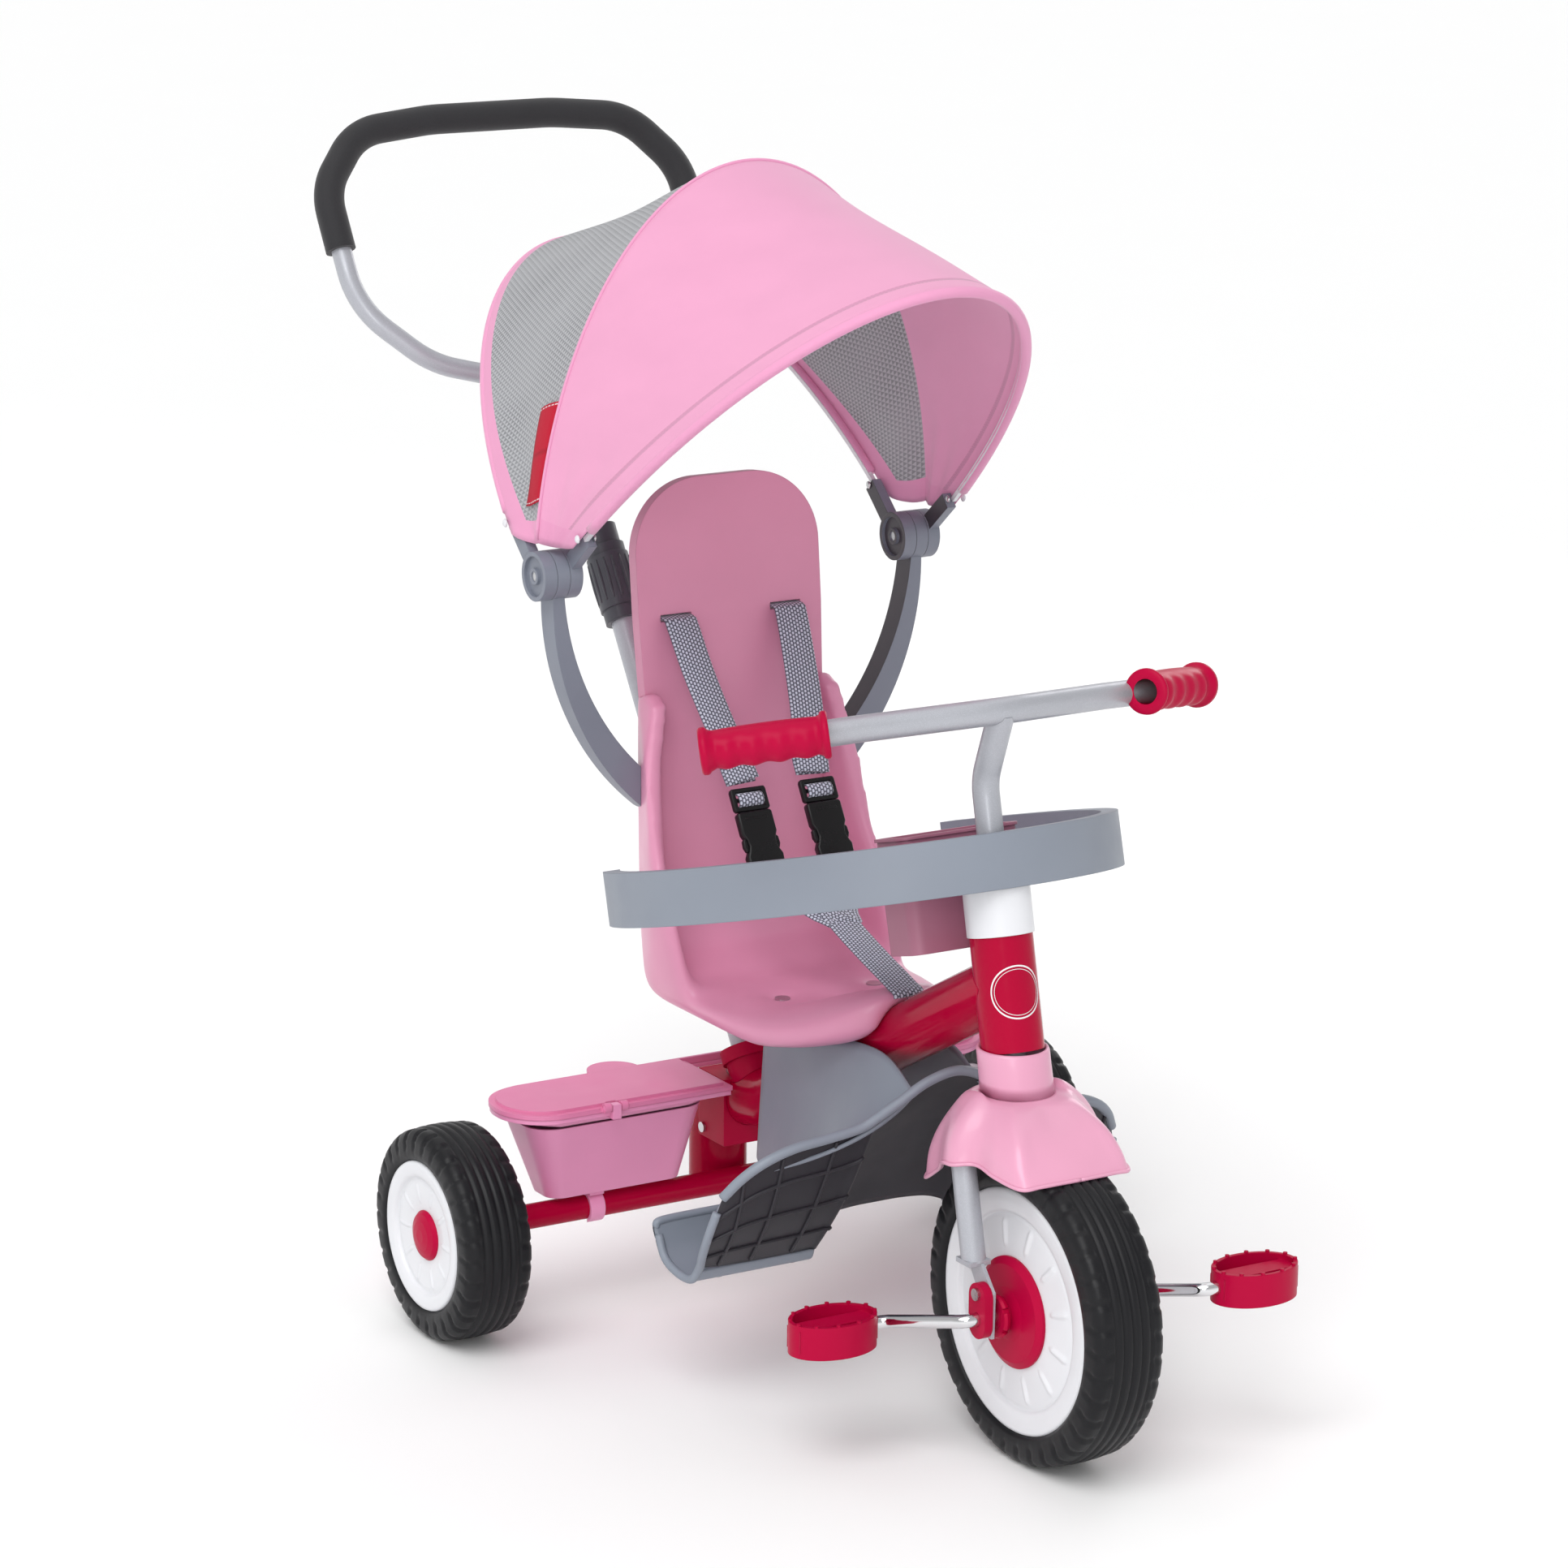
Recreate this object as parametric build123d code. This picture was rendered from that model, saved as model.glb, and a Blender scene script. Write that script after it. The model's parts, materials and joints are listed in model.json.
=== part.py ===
"""Child's push tricycle with a sun canopy, a parent handle, a wrap-round tray and a rear bin.

Working frame, in millimetres: X across (+X is the rider's left), -Y forwards, +Z up, ground at Z = 0 and
the front axle above the origin. place() moves every part so that the origin is the middle of the
tricycle's footprint.
"""
from build123d import *
import math
import os

# ---- driving dimensions -------------------------------------------------------------------------
FRAME_SHIFT_Y = -410.66          # working frame to handed-in frame

FRONT_WHEEL_R = 127.0            # ten-inch front wheel
FRONT_TYRE_HALF = 32.5
FRONT_RIM_R = 100.4
FRONT_DISC_X = 29.7
HUB_FLANGE_R = 45.5
REAR_WHEEL_R = 92.0
REAR_TYRE_HALF = 31.6
REAR_RIM_R = 64.4
REAR_TRACK_X = 280.0
REAR_AXLE_Y = 481.0
REAR_TUBE_R = 11.0
REAR_ROD_R = 5.0

RAKE = 0.228                     # steering axis, Y run per Z rise
STEER_Y0 = 6.6                   # steering axis Y at front axle height
HEAD_R = 25.5
HEAD_BOTTOM_Z = 325.5
HEAD_TOP_Z = 416.0
COLLAR_R = 27.2
COLLAR_TOP_Z = 452.0
STEM_R = 11.0
RUN = 0.06                       # running clearance on every shaft

FORK_X = 57.0
FORK_LEG_R = 10.0
BAR_Y = 77.0
BAR_Z = 597.0
BAR_R = 10.8
GRIP_INNER = (148.0, 116.0, 586.5)
GRIP_OUTER = (233.0, 140.9, 578.6)
BAR_ELBOW_X = 118.0

MAIN_R = 25.5
MAIN_WALL = 1.6
MAIN_PATH = [(0, 57, 380), (0, 418, 184), (0, 516, 160), (0, 516.5, 84)]
MAIN_BENDS = [62, 40]

POST_FOOT = (0, 456, 197)
POST_SLOPE = 0.641               # post, Y run per Z rise
POST_R = 12.7
POST_BORE_R = 11.2
HANDLE_R = 9.0
TWIST_LOW_Z = 552.0
TWIST_HIGH_Z = 628.0
LOOP_SLOPE = 0.55
LOOP_FOOT = (0, 804.7, 736.2)
FOAM_R = 13.5

CRANK_R = 5.5
CRANK_OFFSET = (67.9, -15.3)     # right crank's Y and Z offset, and the left one's mirrored
CRANK_BENDS_X = (74, 108)        # corners of each throw
PEDAL_X = 155.6
CRANK_TAIL = 30.0                # crank end beyond the middle of the pedal
BRACKET_X = 55.0
CROWN_Z = 262.0                  # pressed bridge at the top of the fork legs
CROWN_WIDE = 15.0
FENDER_BASE_Z = 230.0

CANOPY_Y = 492.7                 # canopy hub axis
CANOPY_Z = 647.3
HUB_X = 176.0                    # middle of each canopy hub
HUB_DISC = 12.0                  # length of each of a hub's three discs
HUB_R = 21.0
REAR_BOW = (-47.0, 186.0, 352.0)     # tilt forward in degrees, half width, height
SEAM_BOW = (4.0, 192.0, 338.0)
FRONT_BOW = (50.0, 188.0, 418.0)
BOW_START_R = 44.0
CLOTH = 2.5

TRAY_TILT = 0.268                # fall of the tray towards the rider
TRAY_FRONT = (0, 50, 460)        # bottom of the tray's front wall
TRAY_HALF_X = 207.0
TRAY_HALF_Y = 226.0
TRAY_WALL_H = 45.0
TRAY_WALL = 14.0

PARTS_DIR = "parts"


# ---- helpers ------------------------------------------------------------------------------------
def steer_y(z):
    """Y of the steering axis at height z."""
    return STEER_Y0 + RAKE * (z - FRONT_WHEEL_R)


LOOP_DIR = Vector(0, LOOP_SLOPE, 1).normalized()
TRAY_NORMAL = Vector(0, TRAY_TILT, 1).normalized()


STEER_TILT = Rot(-math.degrees(math.atan(RAKE)), 0, 0)


def steer_point(z):
    return Vector(0, steer_y(z), z)


def post_point(z):
    foot = Vector(*POST_FOOT)
    return foot + Vector(0, POST_SLOPE, 1) * (z - foot.Z)


def cyl(start, end, radius):
    """Cylinder between two points."""
    a = Vector(*start) if isinstance(start, tuple) else start
    b = Vector(*end) if isinstance(end, tuple) else end
    along = b - a
    plane = Plane(origin=a, z_dir=along)
    return plane * Cylinder(radius, along.length, align=(Align.CENTER, Align.CENTER, Align.MIN))


def pipe(start, end, outer, inner):
    return cyl(start, end, outer) - cyl(start, end, inner)


def bent_rod(points, bends, radius):
    """Round bar along straight runs joined by arcs."""
    path = FilletPolyline(*points, radius=bends) if bends else Line(*points)
    section = Plane(origin=path @ 0, z_dir=path % 0) * Circle(radius)
    return sweep(section, path=path)


def spun_x(profile):
    """Ring turned about the X axis from (x, radius) points."""
    return revolve(make_face(Polyline(*profile, close=True)), Axis.X)


def box(x0, x1, y0, y1, z0, z1):
    middle = ((x0 + x1) / 2, (y0 + y1) / 2, (z0 + z1) / 2)
    return Pos(*middle) * Box(x1 - x0, y1 - y0, z1 - z0)


def mirrored(shape):
    return mirror(shape, Plane.YZ)


def group(solids):
    return Compound(children=list(solids))


def side_plate(points, x_start, thickness):
    """Plate of the given (y, z) outline, from x_start towards +X."""
    face = make_face(Polyline(*[(0, y, z) for y, z in points], close=True))
    return Pos(x_start, 0, 0) * extrude(face, amount=thickness, dir=(1, 0, 0))


def place(shape):
    return Pos(0, FRAME_SHIFT_Y, 0) * shape


# ---- front wheel --------------------------------------------------------------------------------
def tyre(outer, half, inner, groove_xs, step_x):
    """Solid tyre ring with round shoulders, grooves round the tread and a bead step."""
    crown = outer - 3
    profile = [(-half, inner + 2), (-half, crown - 14), (-half + 5, crown - 3), (-half + 12, outer),
               (half - 12, outer), (half - 5, crown - 3), (half, crown - 14), (half, inner + 2),
               (step_x, inner), (-step_x, inner)]
    ring = spun_x(profile)
    for x in groove_xs:
        ring -= spun_x([(x - 1.5, outer - 2.5), (x + 1.5, outer - 2.5), (x + 1.5, outer + 1), (x - 1.5, outer + 1)])
    return ring


def shoulder_notches(outer, half, count, width):
    """Cutters for the shoulder blocks on both sides of a tyre."""
    notches = []
    for side in (-1, 1):
        for i in range(count):
            cutter = Pos(side * (half - 2), 0, outer - 6) * Box(11, width, 12)
            notches.append(Rot(i * 360 / count, 0, 0) * cutter)
    return notches


def front_tyre():
    ring = tyre(FRONT_WHEEL_R, FRONT_TYRE_HALF, FRONT_RIM_R, (-10, 0, 10), 28)
    ring -= shoulder_notches(FRONT_WHEEL_R, FRONT_TYRE_HALF, 44, 2.2)
    return Pos(0, 0, FRONT_WHEEL_R) * ring


def front_rim(side):
    """One half of the blow-moulded wheel: stepped dish, embossed ribs and half of the barrel."""
    face = FRONT_DISC_X
    profile = [(0.2, 92), (26, 92), (26, 82), (17, 76), (17, 46), (26, 42), (26, 12), (29, 12),
               (29, 46), (21, 50), (21, 75), (face, 81), (face, 98), (27, 100.2), (0.2, 100.2)]
    half = spun_x(profile)
    for i in range(12):
        rib = Pos(22.5, 0, 62) * Box(5, 7, 22)
        half += Rot(i * 30 + 15, 0, 0) * fillet(rib.edges().filter_by(Axis.X), 3.2)
    half = half if side > 0 else mirrored(half)
    return Pos(0, 0, FRONT_WHEEL_R) * half


def front_hub(side):
    """Red hub disc with a flared neck, bored for the crank."""
    profile = [(29.1, CRANK_R), (29.1, HUB_FLANGE_R), (31.5, HUB_FLANGE_R), (35, 40), (36, 22),
               (38, 14), (39, 11), (49, 11), (49, CRANK_R)]
    hub = spun_x(profile)
    hub = hub if side > 0 else mirrored(hub)
    return Pos(0, 0, FRONT_WHEEL_R) * hub


def clutch_sleeve():
    """Sliding clutch sleeve on the right hub's neck."""
    ring = spun_x([(-48.8, 11.06), (-48.8, 17), (-46.5, 18.5), (-43, 17), (-43, 11.06)])
    for i in range(6):
        ring -= Rot(i * 60, 0, 0) * (Pos(-46, 0, 18) * Box(6, 4, 4))
    return Pos(0, 0, FRONT_WHEEL_R) * ring


def crank():
    """Chromed crank rod: one bar through the hub with an offset throw at each end."""
    dy, dz = CRANK_OFFSET
    end = PEDAL_X + CRANK_TAIL
    inner, outer = CRANK_BENDS_X
    points = [(-end, dy, dz), (-outer, dy, dz), (-inner, 0, 0), (inner, 0, 0), (outer, -dy, -dz), (end, -dy, -dz)]
    bar = bent_rod(points, [14] * 4, CRANK_R)
    return Pos(0, 0, FRONT_WHEEL_R) * bar


def pedal(side):
    """Oval pedal: rim band with studs, a floor and a centre bar bored for the crank's end."""
    rim = extrude(Ellipse(38, 27) - Ellipse(34.5, 23.5), amount=13.5, both=True)
    body = rim + extrude(Ellipse(36, 25), amount=1.5, both=True) + Box(72, 20, 18)
    for i in range(12):
        angle = math.radians(i * 30 + 15)
        body += Pos(36.2 * math.cos(angle), 25.2 * math.sin(angle), 14) * Cylinder(1.8, 2.4)
    body -= cyl((-side * 45, 0, 0), (side * (CRANK_TAIL + 0.5), 0, 0), CRANK_R + RUN)
    dy, dz = CRANK_OFFSET
    return Pos(side * PEDAL_X, -side * dy, FRONT_WHEEL_R - side * dz) * body


# ---- fork and steering --------------------------------------------------------------------------
def fork_leg(side):
    """Tube leg that flattens into a plate round the crank."""
    top = Vector(FORK_X, steer_y(CROWN_Z), CROWN_Z)
    bend = Vector(FORK_X, steer_y(160), 160)
    leg = pipe(top, bend, FORK_LEG_R, FORK_LEG_R - 1.5) - fork_crown()
    leg -= box(0, 90, -60, 60, 100, 170.2)
    width = FORK_LEG_R
    foot = side_plate([(steer_y(170) - width, 170), (steer_y(170) + width, 170), (13, 150), (10, 112),
                       (-10, 112), (-11, 150)], BRACKET_X - 1.5, 3)
    foot -= cyl((BRACKET_X - 5, 0, FRONT_WHEEL_R), (BRACKET_X + 5, 0, FRONT_WHEEL_R), CRANK_R + 1)
    foot -= cyl((BRACKET_X - 5, 0, 148), (BRACKET_X + 5, 0, 148), 2.2)
    collar = box(FORK_X - FORK_LEG_R, FORK_X + FORK_LEG_R, steer_y(172) - width, steer_y(172) + width, 168, 172)
    whole = leg + foot + collar
    return whole if side > 0 else mirrored(whole)


def axle_bracket(side):
    """Red obround bearing plate clamped to the fork foot; the crank turns in it."""
    start = BRACKET_X + 1.5
    plate = Pos(start, 0, 134) * extrude(Plane.YZ * SlotOverall(46, 24, rotation=90), amount=7.5)
    plate -= cyl((start - 1, 0, FRONT_WHEEL_R), (start + 12, 0, FRONT_WHEEL_R), CRANK_R + RUN)
    plate -= cyl((start - 1, 0, 148), (start + 12, 0, 148), 2.2)
    return plate if side > 0 else mirrored(plate)


def bracket_screw(side):
    start = BRACKET_X - 1.5
    screw = cyl((start - 1, 0, 148), (start + 10.6, 0, 148), 2.15)
    screw += cyl((start + 10.55, 0, 148), (start + 13, 0, 148), 5)
    screw += cyl((start - 3.5, 0, 148), (start - 0.05, 0, 148), 4.2)
    return screw if side > 0 else mirrored(screw)


def fork_crown():
    """Pressed steel bridge under the fender that joins both legs and the stem."""
    bridge = Box(2 * FORK_X + 4, CROWN_WIDE, 8)
    return Pos(0, steer_y(CROWN_Z), CROWN_Z) * STEER_TILT * bridge


def fender():
    """Pink front fender: collar on the stem, lobes fore and aft of it and humps over the fork legs."""
    base = Pos(0, steer_y(FENDER_BASE_Z), FENDER_BASE_Z) * STEER_TILT
    sections = [(0, 100, 190, -7, 46), (28, 95, 168, -6, 45), (46, 82, 126, -5, 40), (60, 66, 86, -2, 32),
                (70, 58, 60, 0, 28.5), (96, 56, 56, 0, 27.5)]

    def dome(wall, top):
        slices = [base * Pos(0, y, h) * RectangleRounded(w - 2 * wall, d - 2 * wall, r - wall)
                  for h, w, d, y, r in sections[:-1]]
        h, w, d, y, r = sections[-1]
        slices.append(base * Pos(0, y, top) * RectangleRounded(w - 2 * wall, d - 2 * wall, r - wall))
        form = loft(slices, ruled=True)
        for side in (-1, 1):
            foot = base * Pos(side * FORK_X, 0, 0)
            form += foot * Cylinder(15 - wall, 34, align=(Align.CENTER, Align.CENTER, Align.MIN))
            form += foot * Pos(0, 0, 34) * Sphere(15 - wall)
        return form

    crown_gap = base * Pos(0, 0, 18) * Box(2 * FORK_X + 8, CROWN_WIDE + 1, 38)
    sleeve = base * Pos(0, 0, 37.2) * Cylinder(15, 56, align=(Align.CENTER, Align.CENTER, Align.MIN))
    bore = base * Cylinder(STEM_R + 0.05, 300)
    shell = dome(0, 96) - dome(2.5, 93) - crown_gap
    return shell + (sleeve - bore) - bore - base * Pos(0, 0, -10) * Box(300, 400, 20)


def stem():
    """Silver stem tube from the fork crown up to the handlebar."""
    points = [steer_point(CROWN_Z), steer_point(536), Vector(0, BAR_Y, BAR_Z)]
    tube = bent_rod(points, [40], STEM_R) - bent_rod(points, [40], STEM_R - 1.8)
    return tube - fork_crown() - handlebar()


def bar_point(x):
    """Point on the straight outer run of the handlebar."""
    a, b = Vector(*GRIP_INNER), Vector(*GRIP_OUTER)
    return a + (b - a) * ((x - a.X) / (b.X - a.X))


def handlebar():
    """One tube, swept back and slightly down towards the grips."""
    half = [bar_point(BAR_ELBOW_X), Vector(*GRIP_OUTER)]
    other = [Vector(-p.X, p.Y, p.Z) for p in reversed(half)]
    return bent_rod(other + [Vector(0, BAR_Y - 3, BAR_Z + 1)] + half, [90, 90, 90], BAR_R)


def grip(side):
    """Red grip with end flanges and four finger waves."""
    a, b = Vector(*GRIP_INNER), Vector(*GRIP_OUTER)
    length = (b - a).length + 0.1
    profile = [(0, BAR_R), (0, 18.5), (4, 18.5), (7, 15.5)]
    profile += [(7 + 3 * i, 15.2 + 1.4 * math.cos(i * math.pi / 3)) for i in range(1, 27)]
    profile += [(length - 5, 15.5), (length - 2, 18.5), (length + 3, 18.5), (length + 4, 17), (length + 4, 0),
                (length, 0), (length, BAR_R)]
    body = Plane(origin=a, z_dir=b - a) * Rot(0, -90, 0) * spun_x(profile)
    return body if side > 0 else mirrored(body)


# ---- frame --------------------------------------------------------------------------------------
def head_tube():
    return pipe(steer_point(HEAD_BOTTOM_Z), steer_point(HEAD_TOP_Z), HEAD_R, HEAD_R - MAIN_WALL)


def headset_bushes():
    """Two plastic bushes that the stem turns in."""
    ends = [(HEAD_BOTTOM_Z, HEAD_BOTTOM_Z + 14), (HEAD_TOP_Z - 14, HEAD_TOP_Z)]
    return group(pipe(steer_point(a), steer_point(b), HEAD_R - MAIN_WALL, STEM_R + RUN) for a, b in ends)


def tray_plane(y=0.0, z=0.0):
    """Plane of the tray's underside; local Y runs down towards the rider."""
    base = Plane(origin=TRAY_FRONT, x_dir=(1, 0, 0), z_dir=TRAY_NORMAL)
    return Plane(origin=base.from_local_coords((0, y, z)), x_dir=(1, 0, 0), z_dir=TRAY_NORMAL)


def upper_collar():
    """White plastic sleeve on top of the head tube, cut square to the tray that rests on it."""
    sleeve = pipe(steer_point(HEAD_TOP_Z), steer_point(COLLAR_TOP_Z + 20), COLLAR_R, STEM_R + 1)
    return sleeve - tray_plane(0, 30) * Box(200, 200, 60)


def main_tube_solid(radius):
    return bent_rod(MAIN_PATH, MAIN_BENDS, radius)


def main_tube():
    """Red main tube from the head tube down to the rear axle."""
    tube = main_tube_solid(MAIN_R) - main_tube_solid(MAIN_R - MAIN_WALL)
    tube -= cyl(steer_point(300), steer_point(460), HEAD_R)
    tube -= cyl((-60, REAR_AXLE_Y, REAR_WHEEL_R), (60, REAR_AXLE_Y, REAR_WHEEL_R), REAR_TUBE_R)
    return max(tube.solids(), key=lambda solid: solid.volume)


def rear_axle_tube():
    end = 246
    return pipe((-end, REAR_AXLE_Y, REAR_WHEEL_R), (end, REAR_AXLE_Y, REAR_WHEEL_R), REAR_TUBE_R, 9.5)


def rear_axle_rod():
    end = REAR_TRACK_X + 24
    return cyl((-end, REAR_AXLE_Y, REAR_WHEEL_R), (end, REAR_AXLE_Y, REAR_WHEEL_R), REAR_ROD_R)


def axle_bushes():
    """Plugs that centre the axle rod in the ends of the tube."""
    def plug(x0, x1):
        return pipe((x0, REAR_AXLE_Y, REAR_WHEEL_R), (x1, REAR_AXLE_Y, REAR_WHEEL_R), 9.5, REAR_ROD_R)
    return group([plug(-246, -228), plug(228, 246)])


SOCKET_SCREWS = [(side, y, z) for side in (-1, 1) for y, z in ((466, 182), (494, 140))]


def handle_socket():
    """Red plastic socket that clamps the handle post to the main tube."""
    body = cyl(post_point(168), post_point(212), 21) + cyl(post_point(206), post_point(216), 24)
    body += box(-28, 28, 458, 502, 132, 192)
    body -= main_tube_solid(MAIN_R + 0.05)
    for side, y, z in SOCKET_SCREWS:
        body -= cyl((side * 26, y, z), (side * 29, y, z), 2.45)
    return body - cyl(post_point(120), post_point(240), POST_R + 0.02)


def socket_screws():
    """Two screws in each cheek of the socket."""
    screws = []
    for side, y, z in SOCKET_SCREWS:
        shank = cyl((side * 26.2, y, z), (side * 28, y, z), 2.4)
        screws.append(cyl((side * 28, y, z), (side * 30.2, y, z), 4.6) + shank)
    return group(screws)


def lower_post():
    foot = post_point(190)
    tube = pipe(foot, post_point(610), POST_R, POST_BORE_R)
    return tube - main_tube_solid(MAIN_R + 0.05)


# ---- parent handle ------------------------------------------------------------------------------
def loop_point(x, up):
    """Point of the handle loop, given across and along the loop's slope."""
    foot = Vector(*LOOP_FOOT)
    return foot + Vector(x, 0, 0) + LOOP_DIR * up


LOOP_CORNERS = [(-26, 14), (-118, 40), (-178, 98), (-181, 210), (-138, 262), (-62, 270)]
LOOP_BENDS = [60, 90, 80, 60, 60, 200]
FOAM_END = (-179.9, 152)


def loop_half():
    """Right half of the D-shaped loop, from its foot to the middle of its top."""
    low, high = LOOP_CORNERS[0], LOOP_CORNERS[-1]
    route = [loop_point(0, low[1])] + [loop_point(*c) for c in LOOP_CORNERS] + [loop_point(0, high[1])]
    return bent_rod(route, LOOP_BENDS, HANDLE_R)


def handle_tube():
    """Upper tube of the handle with the loop welded on and a nylon plug that slides in the post."""
    half = loop_half()
    straight = cyl(post_point(470), post_point(728), HANDLE_R)
    tail = cyl(post_point(452), post_point(472), POST_BORE_R - RUN)
    neck = bent_rod([post_point(728), post_point(738), loop_point(0, LOOP_CORNERS[0][1])], [14], HANDLE_R)
    return half + mirrored(half) + straight + neck + tail


def handle_foam():
    """Black foam sleeve over the sides and top of the loop."""
    corners = [FOAM_END] + LOOP_CORNERS[3:]
    right = [loop_point(x, up) for x, up in corners]
    left = [loop_point(-x, up) for x, up in reversed(corners)]
    bends = LOOP_BENDS[3:] + LOOP_BENDS[:2:-1]
    half = loop_half()
    return bent_rod(right + left, bends, FOAM_R) - half - mirrored(half)


def twist_collar():
    """Ribbed twist-lock collar round the joint between post and handle tube."""
    body = cyl(post_point(TWIST_LOW_Z), post_point(612), 17.5) + cyl(post_point(562), post_point(604), 19)
    body += cyl(post_point(612), post_point(TWIST_HIGH_Z), 15)
    body -= cyl(post_point(TWIST_LOW_Z - 5), post_point(611), POST_R + RUN)
    return body - cyl(post_point(605), post_point(TWIST_HIGH_Z + 5), HANDLE_R + RUN)


# ---- rear wheels --------------------------------------------------------------------------------
def at_rear(shape, side):
    shape = shape if side > 0 else mirrored(shape)
    return Pos(side * REAR_TRACK_X, REAR_AXLE_Y, REAR_WHEEL_R) * shape


def rear_tyre(side):
    ring = tyre(REAR_WHEEL_R, REAR_TYRE_HALF, REAR_RIM_R, (-9, 0, 9), 28)
    ring -= shoulder_notches(REAR_WHEEL_R, REAR_TYRE_HALF, 36, 2)
    return at_rear(ring, side)


def rear_rim(side):
    """White wheel with a stepped outer dish, radial ribs and a hub bored for the axle rod."""
    profile = [(-27, REAR_ROD_R + RUN), (-27, 14), (-8, 15), (-8, 58), (-27, 60), (-28, 64.2), (28, 64.2),
               (31, 62), (30, 50), (23, 47), (23, 24), (17, 22), (17, REAR_ROD_R + RUN)]
    rim = spun_x(profile)
    for i in range(10):
        rib = Pos(23.5, 0, 35.5) * Box(4, 4, 16)
        rim += Rot(i * 36, 0, 0) * fillet(rib.edges().filter_by(Axis.X), 1.9)
    return at_rear(rim, side)


def rear_cap(side):
    """Red domed hub cap pressed over the end of the axle."""
    dome = [(17.2, 21.6), (26, 21.6), (29, 19), (31, 13), (32, 6), (32, 0), (29, 0), (28.5, 12), (25, 18.8),
            (17.2, 18.8)]
    return at_rear(spun_x(dome), side)


# ---- seat ---------------------------------------------------------------------------------------
SEAT_HALF = 112.0
SEAT_WALL = 15.0
BACK_HALF = 90.0
BACK_SLOPE = 0.104


SEAT_SIDE = [(200, 304), (199, 324), (206, 336), (250, 330), (330, 313), (385, 307), (404, 345), (440, 417),
             (460, 480), (468, 528), (484, 537), (508, 532), (508, 400), (498, 330), (478, 288), (446, 272),
             (310, 272), (257, 281), (225, 291)]


def back_y(z):
    """Y of the front face of the seat back at height z."""
    return 478 + BACK_SLOPE * (z - 400)


def bucket(inset, profile):
    """Rounded bucket form: side profile, front view and plan outline, all pulled in by inset."""
    half = SEAT_HALF - inset
    side = side_plate(profile, -half, 2 * half)
    front_view = Plane.XZ * make_face(FilletPolyline(
        (24 - half, 700), (24 - half, 550), (-half, 440), (-half, 272 + inset), (half, 272 + inset), (half, 440),
        (half - 24, 550), (half - 24, 700), radius=[99, 99, 34 - inset, 34 - inset, 99, 99], close=False)
        + Line((half - 24, 700), (24 - half, 700)))
    front = extrude(front_view, amount=700, both=True)
    nose = Pos(0, 383) * Ellipse(half, 183 - inset) & Pos(0, 283) * Rectangle(400, 200.2)
    waist = 88 - inset
    tail = make_face(FilletPolyline((-half, 383), (-half, 440), (-waist, 508), (waist, 508), (half, 440),
                                    (half, 383), radius=[40, 16, 16, 40], close=False)
                     + Line((half, 383), (-half, 383)))
    return side & front & extrude(nose + tail, amount=900)


def front_arch():
    """Space above the pan's front edge, which is high over the main tube and low at the sides."""
    crest = Spline((-120, 296), (-70, 309), (-30, 333), (0, 339), (30, 333), (70, 309), (120, 296))
    sides = Polyline((120, 296), (120, 420), (-120, 420), (-120, 296))
    return extrude(Plane.XZ * make_face(crest + sides), amount=-384) - box(-200, 200, -10, 150, 200, 500)


def seat_base():
    """Pink bucket seat base with raised side wings."""
    pan = [(120, 346), (206, 337), (250, 326), (300, 305), (400, 303), (448, 318), (478, 350), (491.5, 400),
           (508, 560), (508, 700), (120, 700)]
    seat = bucket(0, SEAT_SIDE) - bucket(SEAT_WALL, pan) - front_arch()
    seat = seat - main_tube_solid(MAIN_R + 0.3) - back_panel(0.3)
    for side in (-1, 1):
        seat -= cyl((side * 45, 333, 299), (side * 45, 333, 320), 11)
        seat -= cyl((side * 45, 333, 260), (side * 45, 333, 320), 3.2)
    return max(seat.solids(), key=lambda solid: solid.volume)


def back_panel(grow):
    """Leaning panel of the seat back, optionally grown by a clearance."""
    low, wide, high = 366, 86 + grow, BACK_HALF + grow
    outline = FilletPolyline((-wide, low), (-wide, 480), (-high, 600), (-high, 716), (high, 716), (high, 600),
                             (wide, 480), (wide, low), radius=[200, 200, 64, 64, 200, 200], close=False)
    face = make_face(outline + Line((wide, low), (-wide, low)))
    flat = extrude(Plane.XZ.offset(grow) * face, amount=-12 - 2 * grow)
    lean = Rot(-math.degrees(math.atan(BACK_SLOPE)), 0, 0)
    return Pos(0, back_y(low), low) * lean * Pos(0, 0, -low) * flat


def seat_back():
    """Tall removable seat back with two harness slots."""
    panel = back_panel(0)
    for x in (-SLOT_X, SLOT_X):
        panel -= box(x - 15, x + 15, 470, 540, SLOT_Z - 3, SLOT_Z + 3)
    return panel


SLOT_X = 54.0
SLOT_Z = 597.0


def seat_bracket():
    """Steel bracket between the main tube and the seat's underside."""
    bracket = box(-58, 58, 312, 356, 268.9, 271.9) + box(-22, 22, 318, 400, 228, 271.9)
    bracket -= cyl((-45, 333, 250), (-45, 333, 290), 3.2) + cyl((45, 333, 250), (45, 333, 290), 3.2)
    return bracket - main_tube_solid(MAIN_R + 0.05)


def seat_bolts():
    """Two cross-head bolts through the pan into the bracket."""
    def bolt(x):
        return cyl((x, 333, 262), (x, 333, 299.1), 3.1) + cyl((x, 333, 299.1), (x, 333, 302), 6.5)
    return group([bolt(-45), bolt(45)])


# ---- harness ------------------------------------------------------------------------------------
WEB = 25.0
WEB_THICK = 2.4
BUCKLE_TOP = (34.0, 414.0, 464.0)
BUCKLE_LOW = (30.0, 376.0, 400.0)


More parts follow.
